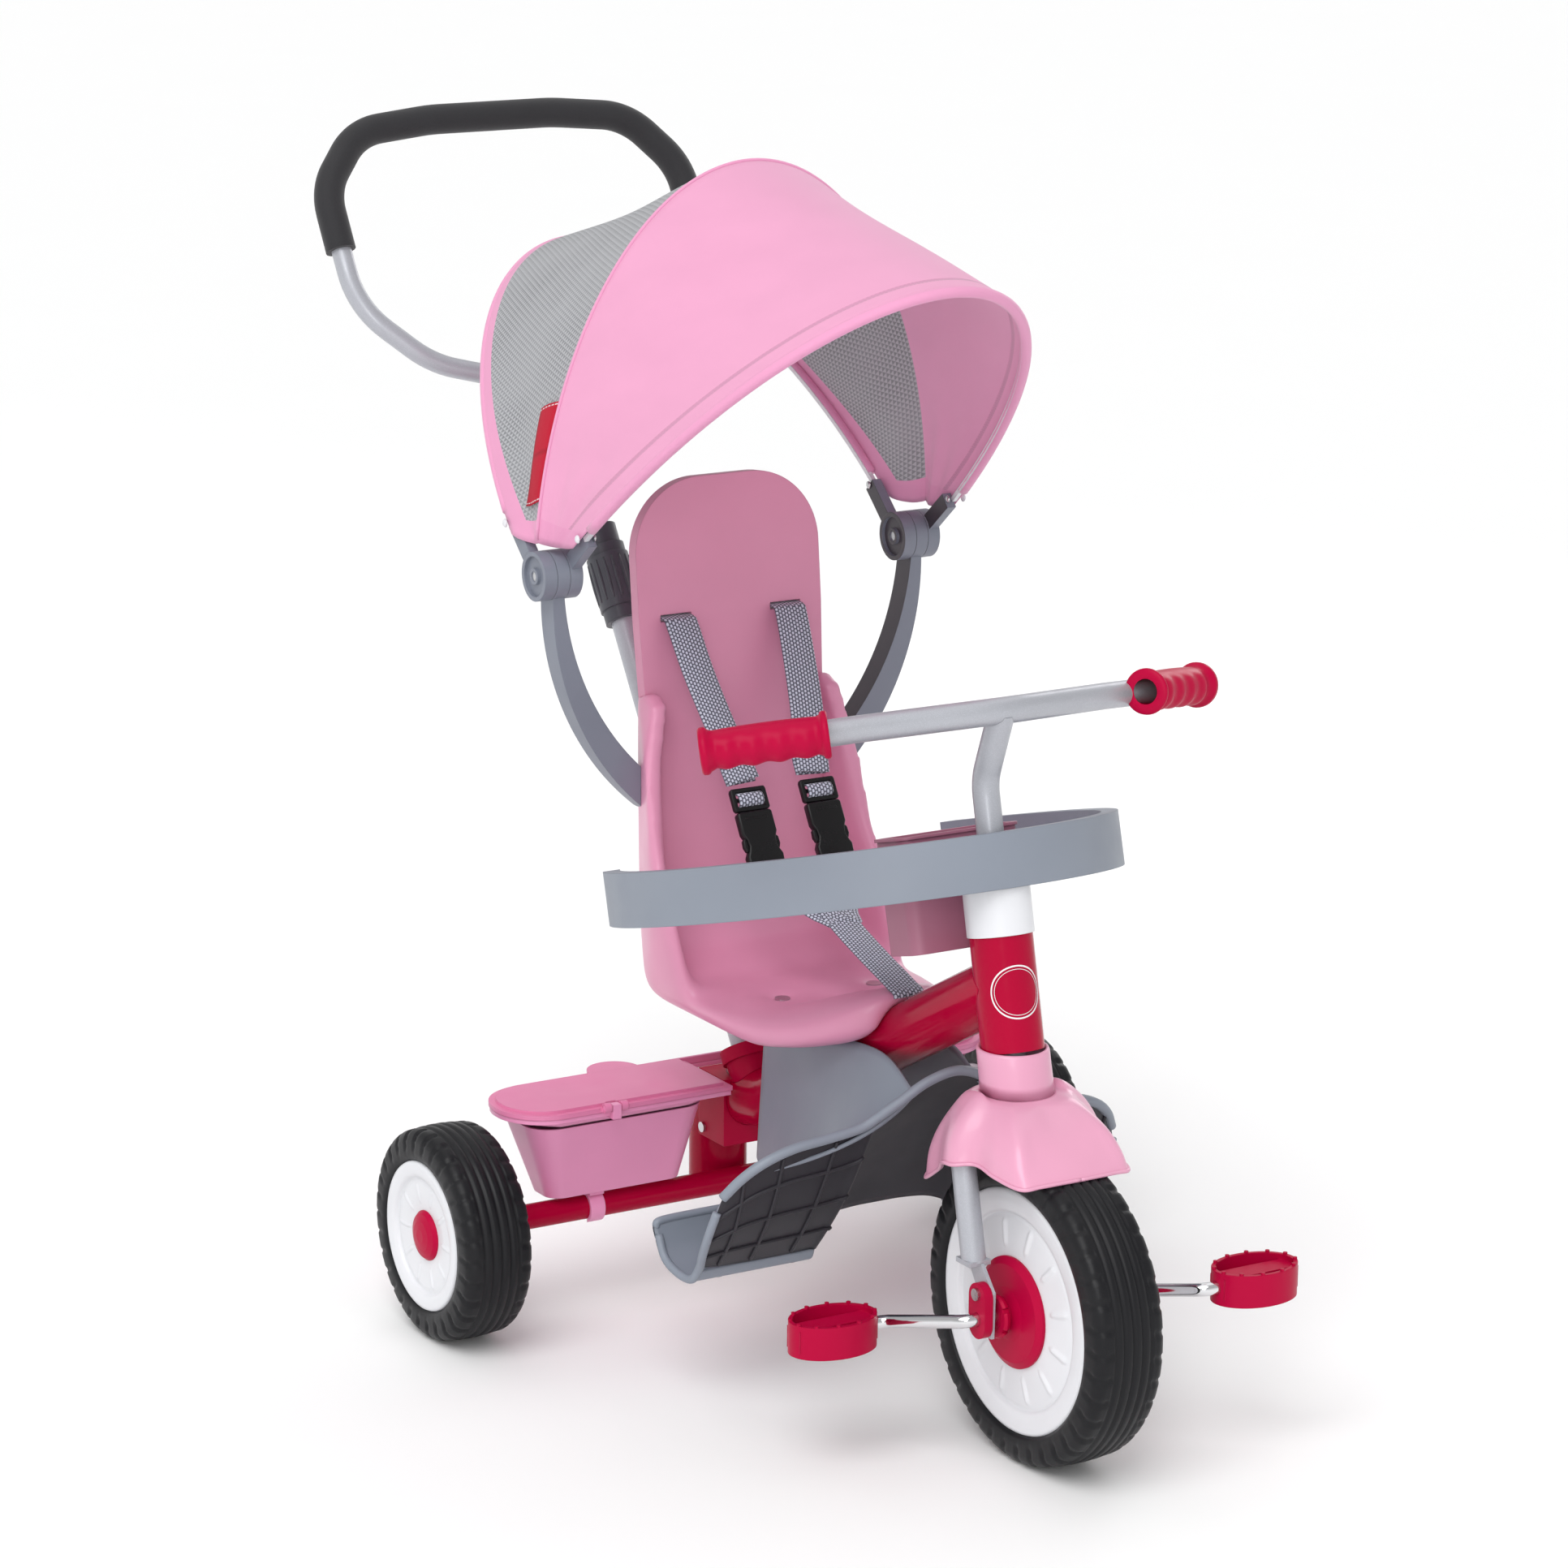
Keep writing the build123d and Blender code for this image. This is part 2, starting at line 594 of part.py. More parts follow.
def strap(points, width=WEB, thick=WEB_THICK):
    """Flat webbing through the points, wide across X."""
    pieces = []
    for a, b in zip(points, points[1:]):
        start, end = Vector(*a), Vector(*b)
        along = end - start
        across = Vector(1, 0, 0) - along.normalized() * Vector(1, 0, 0).dot(along.normalized())
        plane = Plane(origin=start, x_dir=across, z_dir=along)
        pieces.append(plane * Box(width, thick, along.length, align=(Align.CENTER, Align.CENTER, Align.MIN)))
        pieces.append(Pos(*start) * Rot(0, 90, 0) * Cylinder(thick / 2, width))
    whole = pieces[0]
    for piece in pieces[2:]:
        whole += piece
    return whole


def shoulder_strap(side):
    """Shoulder webbing from its slot in the seat back to the buckle."""
    near_buckle = (BUCKLE_TOP[0], BUCKLE_TOP[1] + 1, BUCKLE_TOP[2] + 1.4)
    points = [(SLOT_X, 509, SLOT_Z - 1), (SLOT_X, 492, SLOT_Z - 1), (48, 462, 544), (40, 434, 498), near_buckle]
    web = strap(points)
    return web if side > 0 else mirrored(web)


def buckle(side):
    """Black side-release buckle."""
    top, low = Vector(*BUCKLE_TOP), Vector(*BUCKLE_LOW)
    along = low - top
    plane = Plane(origin=top, x_dir=Vector(1, 0, 0), z_dir=along)
    depth = along.length - 0.4
    body = plane * Pos(0, 0, 0.2) * Box(34, 9, depth, align=(Align.CENTER, Align.CENTER, Align.MIN))
    waist = plane * Pos(19.5, 0, depth * 0.62) * Cylinder(6, 20, rotation=(90, 0, 0))
    other = plane * Pos(-19.5, 0, depth * 0.62) * Cylinder(6, 20, rotation=(90, 0, 0))
    body = body - waist - other
    return body if side > 0 else mirrored(body)


def crotch_strap():
    """Webbing from the pan's slot up to the stitched joint, where it splits to both buckles."""
    web = strap([(0, 323.5, 371), (0, 262, 347), (0, 216, 340.6), (0, 203, 340.6), (0, 196.5, 337.2)])
    near_buckle = (BUCKLE_LOW[0], BUCKLE_LOW[1] - 2, BUCKLE_LOW[2] - 3)
    half = strap([near_buckle, (20, 348, 383), (8, 320, 369.5)])
    return web + half + mirrored(half)


# ---- canopy -------------------------------------------------------------------------------------
def hub_axis_frame(tilt, shift):
    """Frame on the hub axis: local X across, local Y up the bow's plane."""
    lean = math.radians(tilt)
    up = Vector(0, -math.sin(lean), math.cos(lean))
    return Plane(origin=(shift, CANOPY_Y, CANOPY_Z), x_dir=(1, 0, 0), z_dir=Vector(1, 0, 0).cross(up))


def arch_face(half, height, thick, start):
    """C-shaped face of an elliptical arch, cut off at the given distance from the hub axis."""
    ring = Ellipse(half, height) - Ellipse(half - thick, height - thick)
    return ring & Pos(0, start + height) * Rectangle(3 * half, 2 * height)


def bow(bow_size, shift):
    """White glass-fibre batten bent into the arch."""
    tilt, half, height = bow_size
    face = arch_face(half - CLOTH - 1.5, height - CLOTH - 1.5, 4, 57)
    return hub_axis_frame(tilt, shift) * extrude(face, amount=2, both=True)


def cover(first, first_shift, second, second_shift):
    """Fabric panel stretched straight between two arches."""
    ends = []
    for (tilt, half, height), shift in ((first, first_shift), (second, second_shift)):
        ends.append(hub_axis_frame(tilt, shift) * arch_face(half, height, CLOTH, BOW_START_R))
    return loft(ends, ruled=True)


def bow_arm(tilt, side, disc_shift):
    """Grey arm of a bow: hub disc, flat arm and bored centre."""
    x = side * HUB_X + disc_shift
    half = HUB_DISC / 2 - 0.15
    disc = cyl((x - half, CANOPY_Y, CANOPY_Z), (x + half, CANOPY_Y, CANOPY_Z), HUB_R)
    frame = hub_axis_frame(tilt, x)
    arm = frame * Pos(0, 28.3, 0) * Box(2 * half - 3, 56.6, 14)
    body = disc + arm
    recess = cyl((x - half - 1, CANOPY_Y, CANOPY_Z), (x - half + 3, CANOPY_Y, CANOPY_Z), HUB_R - 4)
    if disc_shift < 0:
        body -= recess - cyl((x - half - 1, CANOPY_Y, CANOPY_Z), (x - half + 3, CANOPY_Y, CANOPY_Z), 7)
    return body - cyl((x - 20, CANOPY_Y, CANOPY_Z), (x + 20, CANOPY_Y, CANOPY_Z), 4 + RUN)


def support_arm(side):
    """Grey curved arm from the seat side up to the middle disc of the hub."""
    half = HUB_DISC / 2 - 0.15
    disc = cyl((HUB_X - half, CANOPY_Y, CANOPY_Z), (HUB_X + half, CANOPY_Y, CANOPY_Z), HUB_R)
    outer_edge = ThreePointArc((HUB_X + 5, 636), (162, 530), (92, 436))
    inner_edge = ThreePointArc((HUB_X - 5, 636), (148, 545), (92, 470))
    face = make_face([outer_edge, inner_edge, Line((HUB_X + 5, 636), (HUB_X - 5, 636)), Line((92, 436), (92, 470))])
    blade = Pos(0, CANOPY_Y + 11, 0) * extrude(Plane.XZ * face, amount=22)
    arm = disc + blade - cyl((HUB_X - 20, CANOPY_Y, CANOPY_Z), (HUB_X + 20, CANOPY_Y, CANOPY_Z), 4.02)
    arm = arm - bucket(-0.05, SEAT_SIDE) - back_panel(0.3)
    return arm if side > 0 else mirrored(arm)


def hub_bolt(side):
    """Bolt along the canopy hub, fixed in the support arm."""
    x = side * HUB_X
    bolt = cyl((x - 17, CANOPY_Y, CANOPY_Z), (x + 20.4, CANOPY_Y, CANOPY_Z), 4)
    return bolt + cyl((x + 18.3, CANOPY_Y, CANOPY_Z), (x + 20.4, CANOPY_Y, CANOPY_Z), 6.5)


# ---- tray ---------------------------------------------------------------------------------------
TRAY_SCALE = math.sqrt(1 + TRAY_TILT ** 2)
TRAY_LONG = TRAY_HALF_Y * TRAY_SCALE


def tray():
    """Grey wrap-round tray: hollow wall, front deck and arms that reach back to the seat sides."""
    def oval(inset, y=TRAY_LONG):
        return Pos(0, y) * Ellipse(TRAY_HALF_X - inset, TRAY_LONG - inset)
    opening = Pos(0, 318) * Ellipse(172, 168)
    wall = extrude(oval(0) - oval(TRAY_WALL), amount=TRAY_WALL_H)
    wall -= extrude(oval(3) - oval(TRAY_WALL - 3), amount=TRAY_WALL_H - 3)
    deck = Pos(0, 0, 6) * extrude(oval(TRAY_WALL - 2) - opening, amount=3)
    rim = extrude((oval(TRAY_WALL - 2) & (Pos(0, 318) * Ellipse(175, 171))) - opening, amount=20)
    rim -= Pos(0, 300, 0) * Box(500, 260, 60)
    body = wall + deck + rim
    body -= Pos(0, 360 + 150, 0) * Box(700, 300, 200)
    body = tray_plane() * body
    body -= bucket(-0.6, SEAT_SIDE)
    body -= cyl(steer_point(400), steer_point(560), STEM_R + 2.5)
    return body - tub_outline(0.1)


def tub_outline(grow):
    """Outer form of the tray's storage tub."""
    face = RectangleRounded(112 + 2 * grow, 46 + 2 * grow, 10)
    return tray_plane(96, -46) * extrude(face, amount=94)


def tray_tub():
    """Pink storage tub hung in the tray deck, open at the top, with a divider."""
    inner = tray_plane(96, -43) * extrude(RectangleRounded(106, 40, 7), amount=120)
    lip = tray_plane(96, 46) * extrude(RectangleRounded(116, 50, 12), amount=2.5)
    divider = tray_plane(96, -44) * Pos(28, 0, 43) * Box(2.5, 41, 86)
    tub = tub_outline(0) + lip - inner + divider
    return tub - cyl(steer_point(330), steer_point(600), HEAD_R + 2)


# ---- footrest -----------------------------------------------------------------------------------
WING_X = (66.0, 180.0)


def footrest():
    """Grey moulded footrest: two wings with heel lips, a sloping middle and cheeks along the main tube."""
    wing = [(164, 230), (206, 148), (232, 110), (262, 110), (284, 146), (279, 148), (259, 115), (236, 115),
            (212, 151), (170, 232)]
    floor = [(164, 230), (170, 226), (262, 160), (384, 142), (384, 147), (264, 166), (171, 232)]
    wall = [(164, 230), (150, 262), (150, 266), (176, 262), (171, 232), (180, 160), (168, 118), (163, 118),
            (175, 160)]
    shield = extrude(Plane.XZ * make_face(Polyline((-68, 270), (68, 270), (68, 168), (38, 110), (-38, 110),
                                                   (-68, 168), close=True)), amount=-400)
    body = side_plate(floor, -WING_X[0] - 2, 2 * WING_X[0] + 4)
    body += side_plate(wall, -WING_X[0] - 2, 2 * WING_X[0] + 4) & shield
    for side in (-1, 1):
        low, high = sorted((side * WING_X[0], side * WING_X[1]))
        body += side_plate(wing, low, high - low)
        cheek = [(384, 142), (384, 204), (200, 298), (168, 262), (176, 226), (264, 160)]
        inner = side * 27.5
        body += side_plate(cheek, min(inner, inner + side * 3.5), 3.5)
    return body - main_tube_solid(MAIN_R + 0.1) - box(-26, 26, 120, 420, 226, 330)


def footrest_feet():
    """Round rubber feet under the wings."""
    spots = [(side * x, y) for side in (-1, 1) for x in (90, 160) for y in (247,)]
    return group(cyl((x, y, 105), (x, y, 110), 9) for x, y in spots)


# ---- rear bin -----------------------------------------------------------------------------------
def bin_outline(grow):
    """Oval outline of the bin's rim and lid, with the notch for the socket and post."""
    oval = Pos(0, 479) * RectangleRounded(2 * (240 + grow), 92 + 2 * grow, 44 + grow)
    return oval - Pos(0, 466) * Rectangle(68 - 2 * grow, 100)


def bin_pocket(side, inset):
    """One tapered pocket of the bin."""
    top = Pos(side * 137, 479, 189) * RectangleRounded(174 - 2 * inset, 82 - 2 * inset, 26 - inset)
    low = Pos(side * 128, 488, 108 + inset) * RectangleRounded(130 - 2 * inset, 42 - 2 * inset, 14 - inset)
    return loft([low, top], ruled=True)


def storage_bin():
    """Pink rear bin: two pockets either side of the main tube under one rim, clipped to the axle."""
    rim = Pos(0, 0, 187) * extrude(bin_outline(-1), amount=4)
    body = rim + bin_pocket(-1, 0) + bin_pocket(1, 0)
    for side in (-1, 1):
        body -= bin_pocket(side, 2.5)
        body -= Pos(side * 137, 479, 180) * extrude(RectangleRounded(169, 77, 23), amount=20)
        x = side * 147
        clip = pipe((x - 7, REAR_AXLE_Y, REAR_WHEEL_R), (x + 7, REAR_AXLE_Y, REAR_WHEEL_R), 14, REAR_TUBE_R + 0.05)
        clip -= box(x - 8, x + 8, REAR_AXLE_Y - 6, REAR_AXLE_Y + 6, 70, 88)
        body += clip + box(x - 7, x + 7, 470, 492, 104.5, 110) - cyl(
            (x - 8, REAR_AXLE_Y, REAR_WHEEL_R), (x + 8, REAR_AXLE_Y, REAR_WHEEL_R), REAR_TUBE_R + 0.05)
    for pin in lid_pins():
        body += pin
    return body - main_tube_solid(MAIN_R + 1)


LID_AXIS = (432.0, 195.3)        # Y and Z of the lid's hinge


def lid_hinge(x, start, end, radius):
    """Cylinder on the lid's hinge axis, from start to end either side of x."""
    y, z = LID_AXIS
    return cyl((x + start, y, z), (x + end, y, z), radius)


def bin_lid():
    """Pink bin lid with a crowned top, two finger tabs at the rear edge and hinge knuckles at the front."""
    lid = Pos(0, 0, 191.2) * extrude(bin_outline(0), amount=4)
    lid += Pos(0, 0, 195.2) * extrude(bin_outline(-6), amount=2.5)
    for side in (-1, 1):
        lid += Pos(side * 100, 524, 191.2) * extrude(Circle(24), amount=4)
    for x in (-150, 150):
        lid += lid_hinge(x, -11, 11, 4.2)
        lid -= lid_hinge(x, -14, 14, 2.2 + RUN) + box(x - 4.8, x + 4.8, 420, 441, 180, 205)
    return lid - cyl(post_point(150), post_point(260), 26)


def lid_pins():
    """Hinge posts on the front edge of the bin, each with the pin that the lid turns on."""
    pins = []
    for x in (-150, 150):
        post = box(x - 4, x + 4, 428, 440, 185, 191) + box(x - 4, x + 4, 428, 436, 185, 197.8)
        pins.append(lid_hinge(x, -10.5, 10.5, 2.2) + post)
    return pins


# ---- assembly -----------------------------------------------------------------------------------
def both(make):
    """Right and left pieces of one kind as a group."""
    return lambda: group([make(-1), make(1)])


PARTS = {
    "head_tube": head_tube, "headset_bushes": headset_bushes, "upper_collar": upper_collar,
    "main_tube": main_tube, "rear_axle_tube": rear_axle_tube, "rear_axle_rod": rear_axle_rod,
    "axle_bushes": axle_bushes, "handle_socket": handle_socket, "socket_screws": socket_screws,
    "handle_post": lower_post, "twist_collar": twist_collar, "handle_tube": handle_tube,
    "handle_foam": handle_foam, "seat_base": seat_base, "seat_back": seat_back, "seat_bracket": seat_bracket,
    "seat_bolts": seat_bolts, "crotch_strap": crotch_strap, "tray": tray, "tray_tub": tray_tub,
    "footrest": footrest, "footrest_feet": footrest_feet, "storage_bin": storage_bin, "bin_lid": bin_lid,
    "fork_crown": fork_crown, "fork_legs": both(fork_leg), "axle_brackets": both(axle_bracket),
    "bracket_screws": both(bracket_screw), "fender": fender, "stem": stem, "handlebar": handlebar,
    "front_tyre": front_tyre, "front_rims": both(front_rim), "front_hubs": both(front_hub), "crank": crank,
    "clutch_sleeve": clutch_sleeve, "hub_bolts": both(hub_bolt),
    "rear_bow": lambda: bow(REAR_BOW, -HUB_DISC), "front_bow": lambda: bow(FRONT_BOW, HUB_DISC),
    "rear_bow_arms": both(lambda side: bow_arm(REAR_BOW[0], side, -HUB_DISC)),
    "front_bow_arms": both(lambda side: bow_arm(FRONT_BOW[0], side, HUB_DISC)),
    "canopy_rear_panel": lambda: cover(REAR_BOW, -HUB_DISC, SEAM_BOW, 0),
    "canopy_front_panel": lambda: cover(SEAM_BOW, 0, FRONT_BOW, HUB_DISC),
}
HANDED = {
    "shoulder_strap": shoulder_strap, "buckle": buckle, "support_arm": support_arm, "grip": grip,
    "pedal": pedal, "rear_tyre": rear_tyre, "rear_rim": rear_rim, "rear_cap": rear_cap,
}


def main():
    os.makedirs(PARTS_DIR, exist_ok=True)
    shapes = {name: make() for name, make in PARTS.items()}
    for name, make in HANDED.items():
        shapes[name + "_right"] = make(-1)
        shapes[name + "_left"] = make(1)
    for name, shape in shapes.items():
        export_step(place(shape), os.path.join(PARTS_DIR, name + ".step"))


main()
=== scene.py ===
import json
from math import acos, atan2, copysign, cos, exp, hypot, pi, radians, sin

import bmesh
import bpy
import numpy as np
from mathutils import Matrix, Vector


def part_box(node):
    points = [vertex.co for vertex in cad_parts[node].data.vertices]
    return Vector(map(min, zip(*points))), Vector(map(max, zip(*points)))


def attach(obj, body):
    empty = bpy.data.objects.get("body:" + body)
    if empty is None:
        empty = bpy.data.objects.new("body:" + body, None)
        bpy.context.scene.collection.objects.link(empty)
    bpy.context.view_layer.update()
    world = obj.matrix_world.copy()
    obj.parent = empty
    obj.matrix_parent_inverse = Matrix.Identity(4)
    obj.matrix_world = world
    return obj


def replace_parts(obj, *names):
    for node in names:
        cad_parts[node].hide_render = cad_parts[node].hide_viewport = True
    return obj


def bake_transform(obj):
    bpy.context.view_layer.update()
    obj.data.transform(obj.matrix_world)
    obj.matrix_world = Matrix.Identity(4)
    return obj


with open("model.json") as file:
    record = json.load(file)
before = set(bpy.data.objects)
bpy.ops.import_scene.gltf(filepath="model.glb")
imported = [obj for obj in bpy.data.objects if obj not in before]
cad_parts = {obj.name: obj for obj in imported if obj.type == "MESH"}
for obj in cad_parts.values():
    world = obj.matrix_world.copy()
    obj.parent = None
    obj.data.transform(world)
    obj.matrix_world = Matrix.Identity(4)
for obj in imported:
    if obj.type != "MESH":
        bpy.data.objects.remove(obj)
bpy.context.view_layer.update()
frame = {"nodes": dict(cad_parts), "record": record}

NODES = frame["nodes"]
JOINTS = {j["name"]: j for j in frame["record"]["behaviour"]["joints"]}

SIDES = ((-1, "right"), (1, "left"))
WHEEL_LO, WHEEL_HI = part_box("front_tyre")
SHIFT_Y = (WHEEL_LO[1] + WHEEL_HI[1]) / 2


def P(x, y, z):
    """Point given in millimetres from the front axle's foot, in the row frame."""
    return Vector((x / 1000, SHIFT_Y + y / 1000, z / 1000))


def new_object(name, data):
    obj = bpy.data.objects.new(name, data)
    bpy.context.collection.objects.link(obj)
    return obj


# ---- camera, floor and light ----
CAMERA_PLACE = (-2134.9, -3144.8, 1517.7)  # row millimetres
CAMERA_TURNS = (-31.0, 14.26, 0.47)  # yaw, pitch and roll in degrees
LENS, SENSOR = 116.1, 36  # millimetres
FLOOR_SIZE, FLOOR_DROP = 90, 0.0002  # metres
SKY_BAND = (0.05, 0.45, 0.97, 0.50)  # low and high direction, light at each


def make_camera():
    data = bpy.data.cameras.new("camera")
    data.lens = LENS
    data.sensor_width = SENSOR
    data.clip_end = 50
    obj = new_object("camera", data)
    yaw, pitch, roll = (radians(a) for a in CAMERA_TURNS)
    level = cos(pitch)
    back = Vector((sin(yaw) * level, -cos(yaw) * level, sin(pitch)))
    right = (-back).cross(Vector((0, 0, 1))).normalized()
    up = right.cross(-back)
    c, s = cos(roll), sin(roll)
    axes = (c * right + s * up, -s * right + c * up, back)
    place = P(*CAMERA_PLACE)
    obj.matrix_world = Matrix([[a[i] for a in axes] + [place[i]] for i in range(3)] + [[0, 0, 0, 1]])
    bpy.context.scene.camera = obj


def area_light(name, place, aim, size, power):
    data = bpy.data.lights.new(name, "AREA")
    data.shape = "RECTANGLE"
    data.size, data.size_y = size
    data.energy = power
    obj = new_object(name, data)
    obj.location = place
    obj.rotation_euler = (Vector(aim) - Vector(place)).to_track_quat("-Z", "Y").to_euler()


def sun(name, source, power, spread):
    data = bpy.data.lights.new(name, "SUN")
    data.energy = power
    data.angle = radians(spread)
    obj = new_object(name, data)
    obj.rotation_euler = Vector(source).to_track_quat("Z", "Y").to_euler()


def make_stage():
    bpy.ops.mesh.primitive_plane_add(size=FLOOR_SIZE, location=(0, 0, -FLOOR_DROP))
    floor = bpy.context.object
    floor.name = "studio_floor"
    floor.data.materials.append(plain("floor_paper", (0.95, 0.95, 0.95), 0.9))
    world = bpy.data.worlds.new("studio")
    bpy.context.scene.world = world
    world.use_nodes = True
    sky = world.node_tree.nodes
    height = sky.new("ShaderNodeSeparateXYZ")
    band = sky.new("ShaderNodeMapRange")
    for socket, value in zip(range(1, 5), SKY_BAND):
        band.inputs[socket].default_value = value
    links = world.node_tree.links
    links.new(sky.new("ShaderNodeTexCoord").outputs["Generated"], height.inputs[0])
    links.new(height.outputs[2], band.inputs[0])
    links.new(band.outputs[0], sky["Background"].inputs[1])
    sky["Background"].inputs[0].default_value = (1, 1, 1, 1)
    sun("key_sun", (-0.75, -0.55, 1.25), 1.55, 42)
    sun("top_sun", (0.25, 0.45, 1.3), 0.45, 60)
    area_light("front_softbox", (-1.6, -2.6, 1.5), (0, 0, 0.45), (0.7, 1.4), 14)
    area_light("rim_softbox", (2.4, 1.4, 1.6), (0, 0, 0.5), (0.8, 1.6), 10)
    bpy.context.scene.view_settings.view_transform = "Standard"


# ---- materials ----
def srgb(r, g, b):
    def linear(c):
        c /= 255
        return c / 12.92 if c <= 0.04045 else ((c + 0.055) / 1.055) ** 2.4
    return (linear(r), linear(g), linear(b))


class Tree:
    """Short way to add and join shader nodes."""

    def __init__(self, name):
        self.mat = bpy.data.materials.new(name)
        self.mat.use_nodes = True
        self.nt = self.mat.node_tree
        self.bsdf = self.nt.nodes["Principled BSDF"]

    def add(self, kind, **inputs):
        node = self.nt.nodes.new("ShaderNode" + kind)
        for key, value in inputs.items():
            self.put(node.inputs[key.replace("_", " ")], value)
        return node

    def put(self, socket, value):
        if isinstance(value, bpy.types.NodeSocket):
            self.nt.links.new(value, socket)
        elif socket.type == "RGBA" and len(value) == 3:
            socket.default_value = (*value, 1)
        else:
            socket.default_value = value

    def math(self, operation, a, b=0.0):
        node = self.add("Math")
        node.operation = operation
        self.put(node.inputs[0], a)
        self.put(node.inputs[1], b)
        return node.outputs[0]

    def times(self, a, b):
        return self.math("MULTIPLY", a, b)

    def plus(self, a, b):
        return self.math("ADD", a, b)

    def minus(self, a, b):
        return self.math("SUBTRACT", a, b)

    def over(self, a, b):
        return self.math("DIVIDE", a, b)

    def fraction(self, a):
        return self.math("FRACT", a)

    def mix(self, factor, a, b):
        node = self.add("Mix")
        node.data_type = "RGBA"
        self.put(node.inputs[0], factor)
        self.put(node.inputs[6], a)
        self.put(node.inputs[7], b)
        return node.outputs[2]

    def ramp(self, value, low, high, to_low=0.0, to_high=1.0):
        node = self.add("MapRange", Value=value)
        for i, number in enumerate((low, high, to_low, to_high)):
            node.inputs[1 + i].default_value = number
        return node.outputs[0]

    def coords(self, uv=None):
        if uv:
            node = self.add("UVMap")
            node.uv_map = uv
            return node.outputs[0]
        return self.add("TexCoord").outputs["Object"]

    def noise(self, scale, detail=3.0, vector=None, stretch=None):
        vector = vector or self.coords()
        if stretch:
            mapping = self.add("Mapping", Vector=vector)
            mapping.inputs["Scale"].default_value = stretch
            vector = mapping.outputs[0]
        return self.add("TexNoise", Vector=vector, Scale=scale, Detail=detail).outputs["Fac"]

    def bump(self, height, strength, distance, normal=None):
        node = self.add("Bump", Height=height, Strength=strength, Distance=distance)
        if normal:
            self.put(node.inputs["Normal"], normal)
        return node.outputs[0]

    def mottled(self, colour, share, noise, low=0.3, high=0.7):
        """The colour with patches darkened to a share of it."""
        return self.mix(self.ramp(noise, low, high), [c * share for c in colour], colour)

    def rounded(self, radius):
        node = self.add("Bevel")
        node.samples = 4
        node.inputs["Radius"].default_value = radius
        return node.outputs[0]

    def finish(self, colour, rough, normal, **fixed):
        self.put(self.bsdf.inputs["Base Color"], colour)
        self.put(self.bsdf.inputs["Roughness"], rough)
        self.put(self.bsdf.inputs["Normal"], normal)
        for key, value in fixed.items():
            self.put(self.bsdf.inputs[key.replace("_", " ")], value)
        return self.mat


def plain(name, colour, rough):
    """Matt paper with hardly any grain."""
    t = Tree(name)
    tint = t.mix(t.noise(3.0), [c * 0.99 for c in colour], colour)
    return t.finish(tint, rough, t.bump(t.noise(60.0), 0.05, 0.001))


def moulded_plastic(name, colour, rough=0.42, grain=1400.0, bump=0.12, edge=0.0012, worn=0.06, **fixed):
    """Moulded plastic: fine grain, slight flow marks in the colour and paler edges."""
    t = Tree(name)
    base = t.mottled(colour, 0.93, t.noise(7.0, 4.0), 0.35, 0.65)
    pointy = t.add("NewGeometry").outputs["Pointiness"]
    pale = [min(1.0, c * 1.15 + 0.05) for c in colour]
    base = t.mix(t.ramp(pointy, 0.53, 0.62, 0.0, worn), base, pale)
    roughness = t.ramp(t.noise(25.0, 4.0), 0.3, 0.7, rough - 0.05, rough + 0.07)
    normal = t.bump(t.noise(grain, 2.0), bump, 0.0002, t.rounded(edge))
    return t.finish(base, roughness, normal, **fixed)


def arm_plastic(name, colour, deep):
    """Moulded arm whose inner side, towards the object's middle, is open and hollow; faces turned that
    way are coloured dark as painted shade for the shade inside it.
    """
    t = Tree(name)
    where = t.add("SeparateXYZ", Vector=t.coords()).outputs[0]
    facing = t.add("NewGeometry").outputs["Normal"]
    across = t.add("SeparateXYZ", Vector=facing).outputs[0]
    inward = t.times(t.math("SIGN", where), across)
    inner_shade = t.ramp(inward, -0.35, -0.75)
    base = t.mottled(colour, 0.93, t.noise(7.0, 4.0), 0.35, 0.65)
    # painted shade: inward faces take the dark second colour
    base = t.mix(inner_shade, base, deep)
    roughness = t.ramp(t.noise(25.0, 4.0), 0.3, 0.7, 0.36, 0.48)
    return t.finish(base, roughness, t.bump(t.noise(1500.0, 2.0), 0.14, 0.0002, t.rounded(0.0012)))


def painted(name, colour, rough=0.22, flake=0.0, metallic=0.0, **fixed):
    """Sprayed metal: orange-peel ripple, fine flake and small scuffs in the gloss."""
    t = Tree(name)
    base = t.mottled(colour, 0.94, t.noise(5.0))
    if flake:
        spark = t.ramp(t.noise(2600.0, 1.0), 0.55, 0.75)
        base = t.mix(t.times(spark, flake), base, [min(1, c * 1.7) for c in colour])
    scuffs = t.noise(90.0, 6.0, stretch=(1, 0.25, 1))
    roughness = t.ramp(scuffs, 0.35, 0.75, rough, rough + 0.12)
    normal = t.bump(t.noise(260.0, 2.0), 0.06, 0.0004, t.rounded(0.0006))
    return t.finish(base, roughness, normal, Metallic=metallic, **fixed)


def chrome(name, colour, rough):
    """Bright plated metal with faint smudges."""
    t = Tree(name)
    smudge = t.noise(40.0, 5.0)
    base = t.mix(smudge, [c * 0.9 for c in colour], colour)
    roughness = t.ramp(smudge, 0.3, 0.8, rough, rough + 0.14)
    return t.finish(base, roughness, t.bump(t.noise(500.0), 0.03, 0.0002), Metallic=1.0)


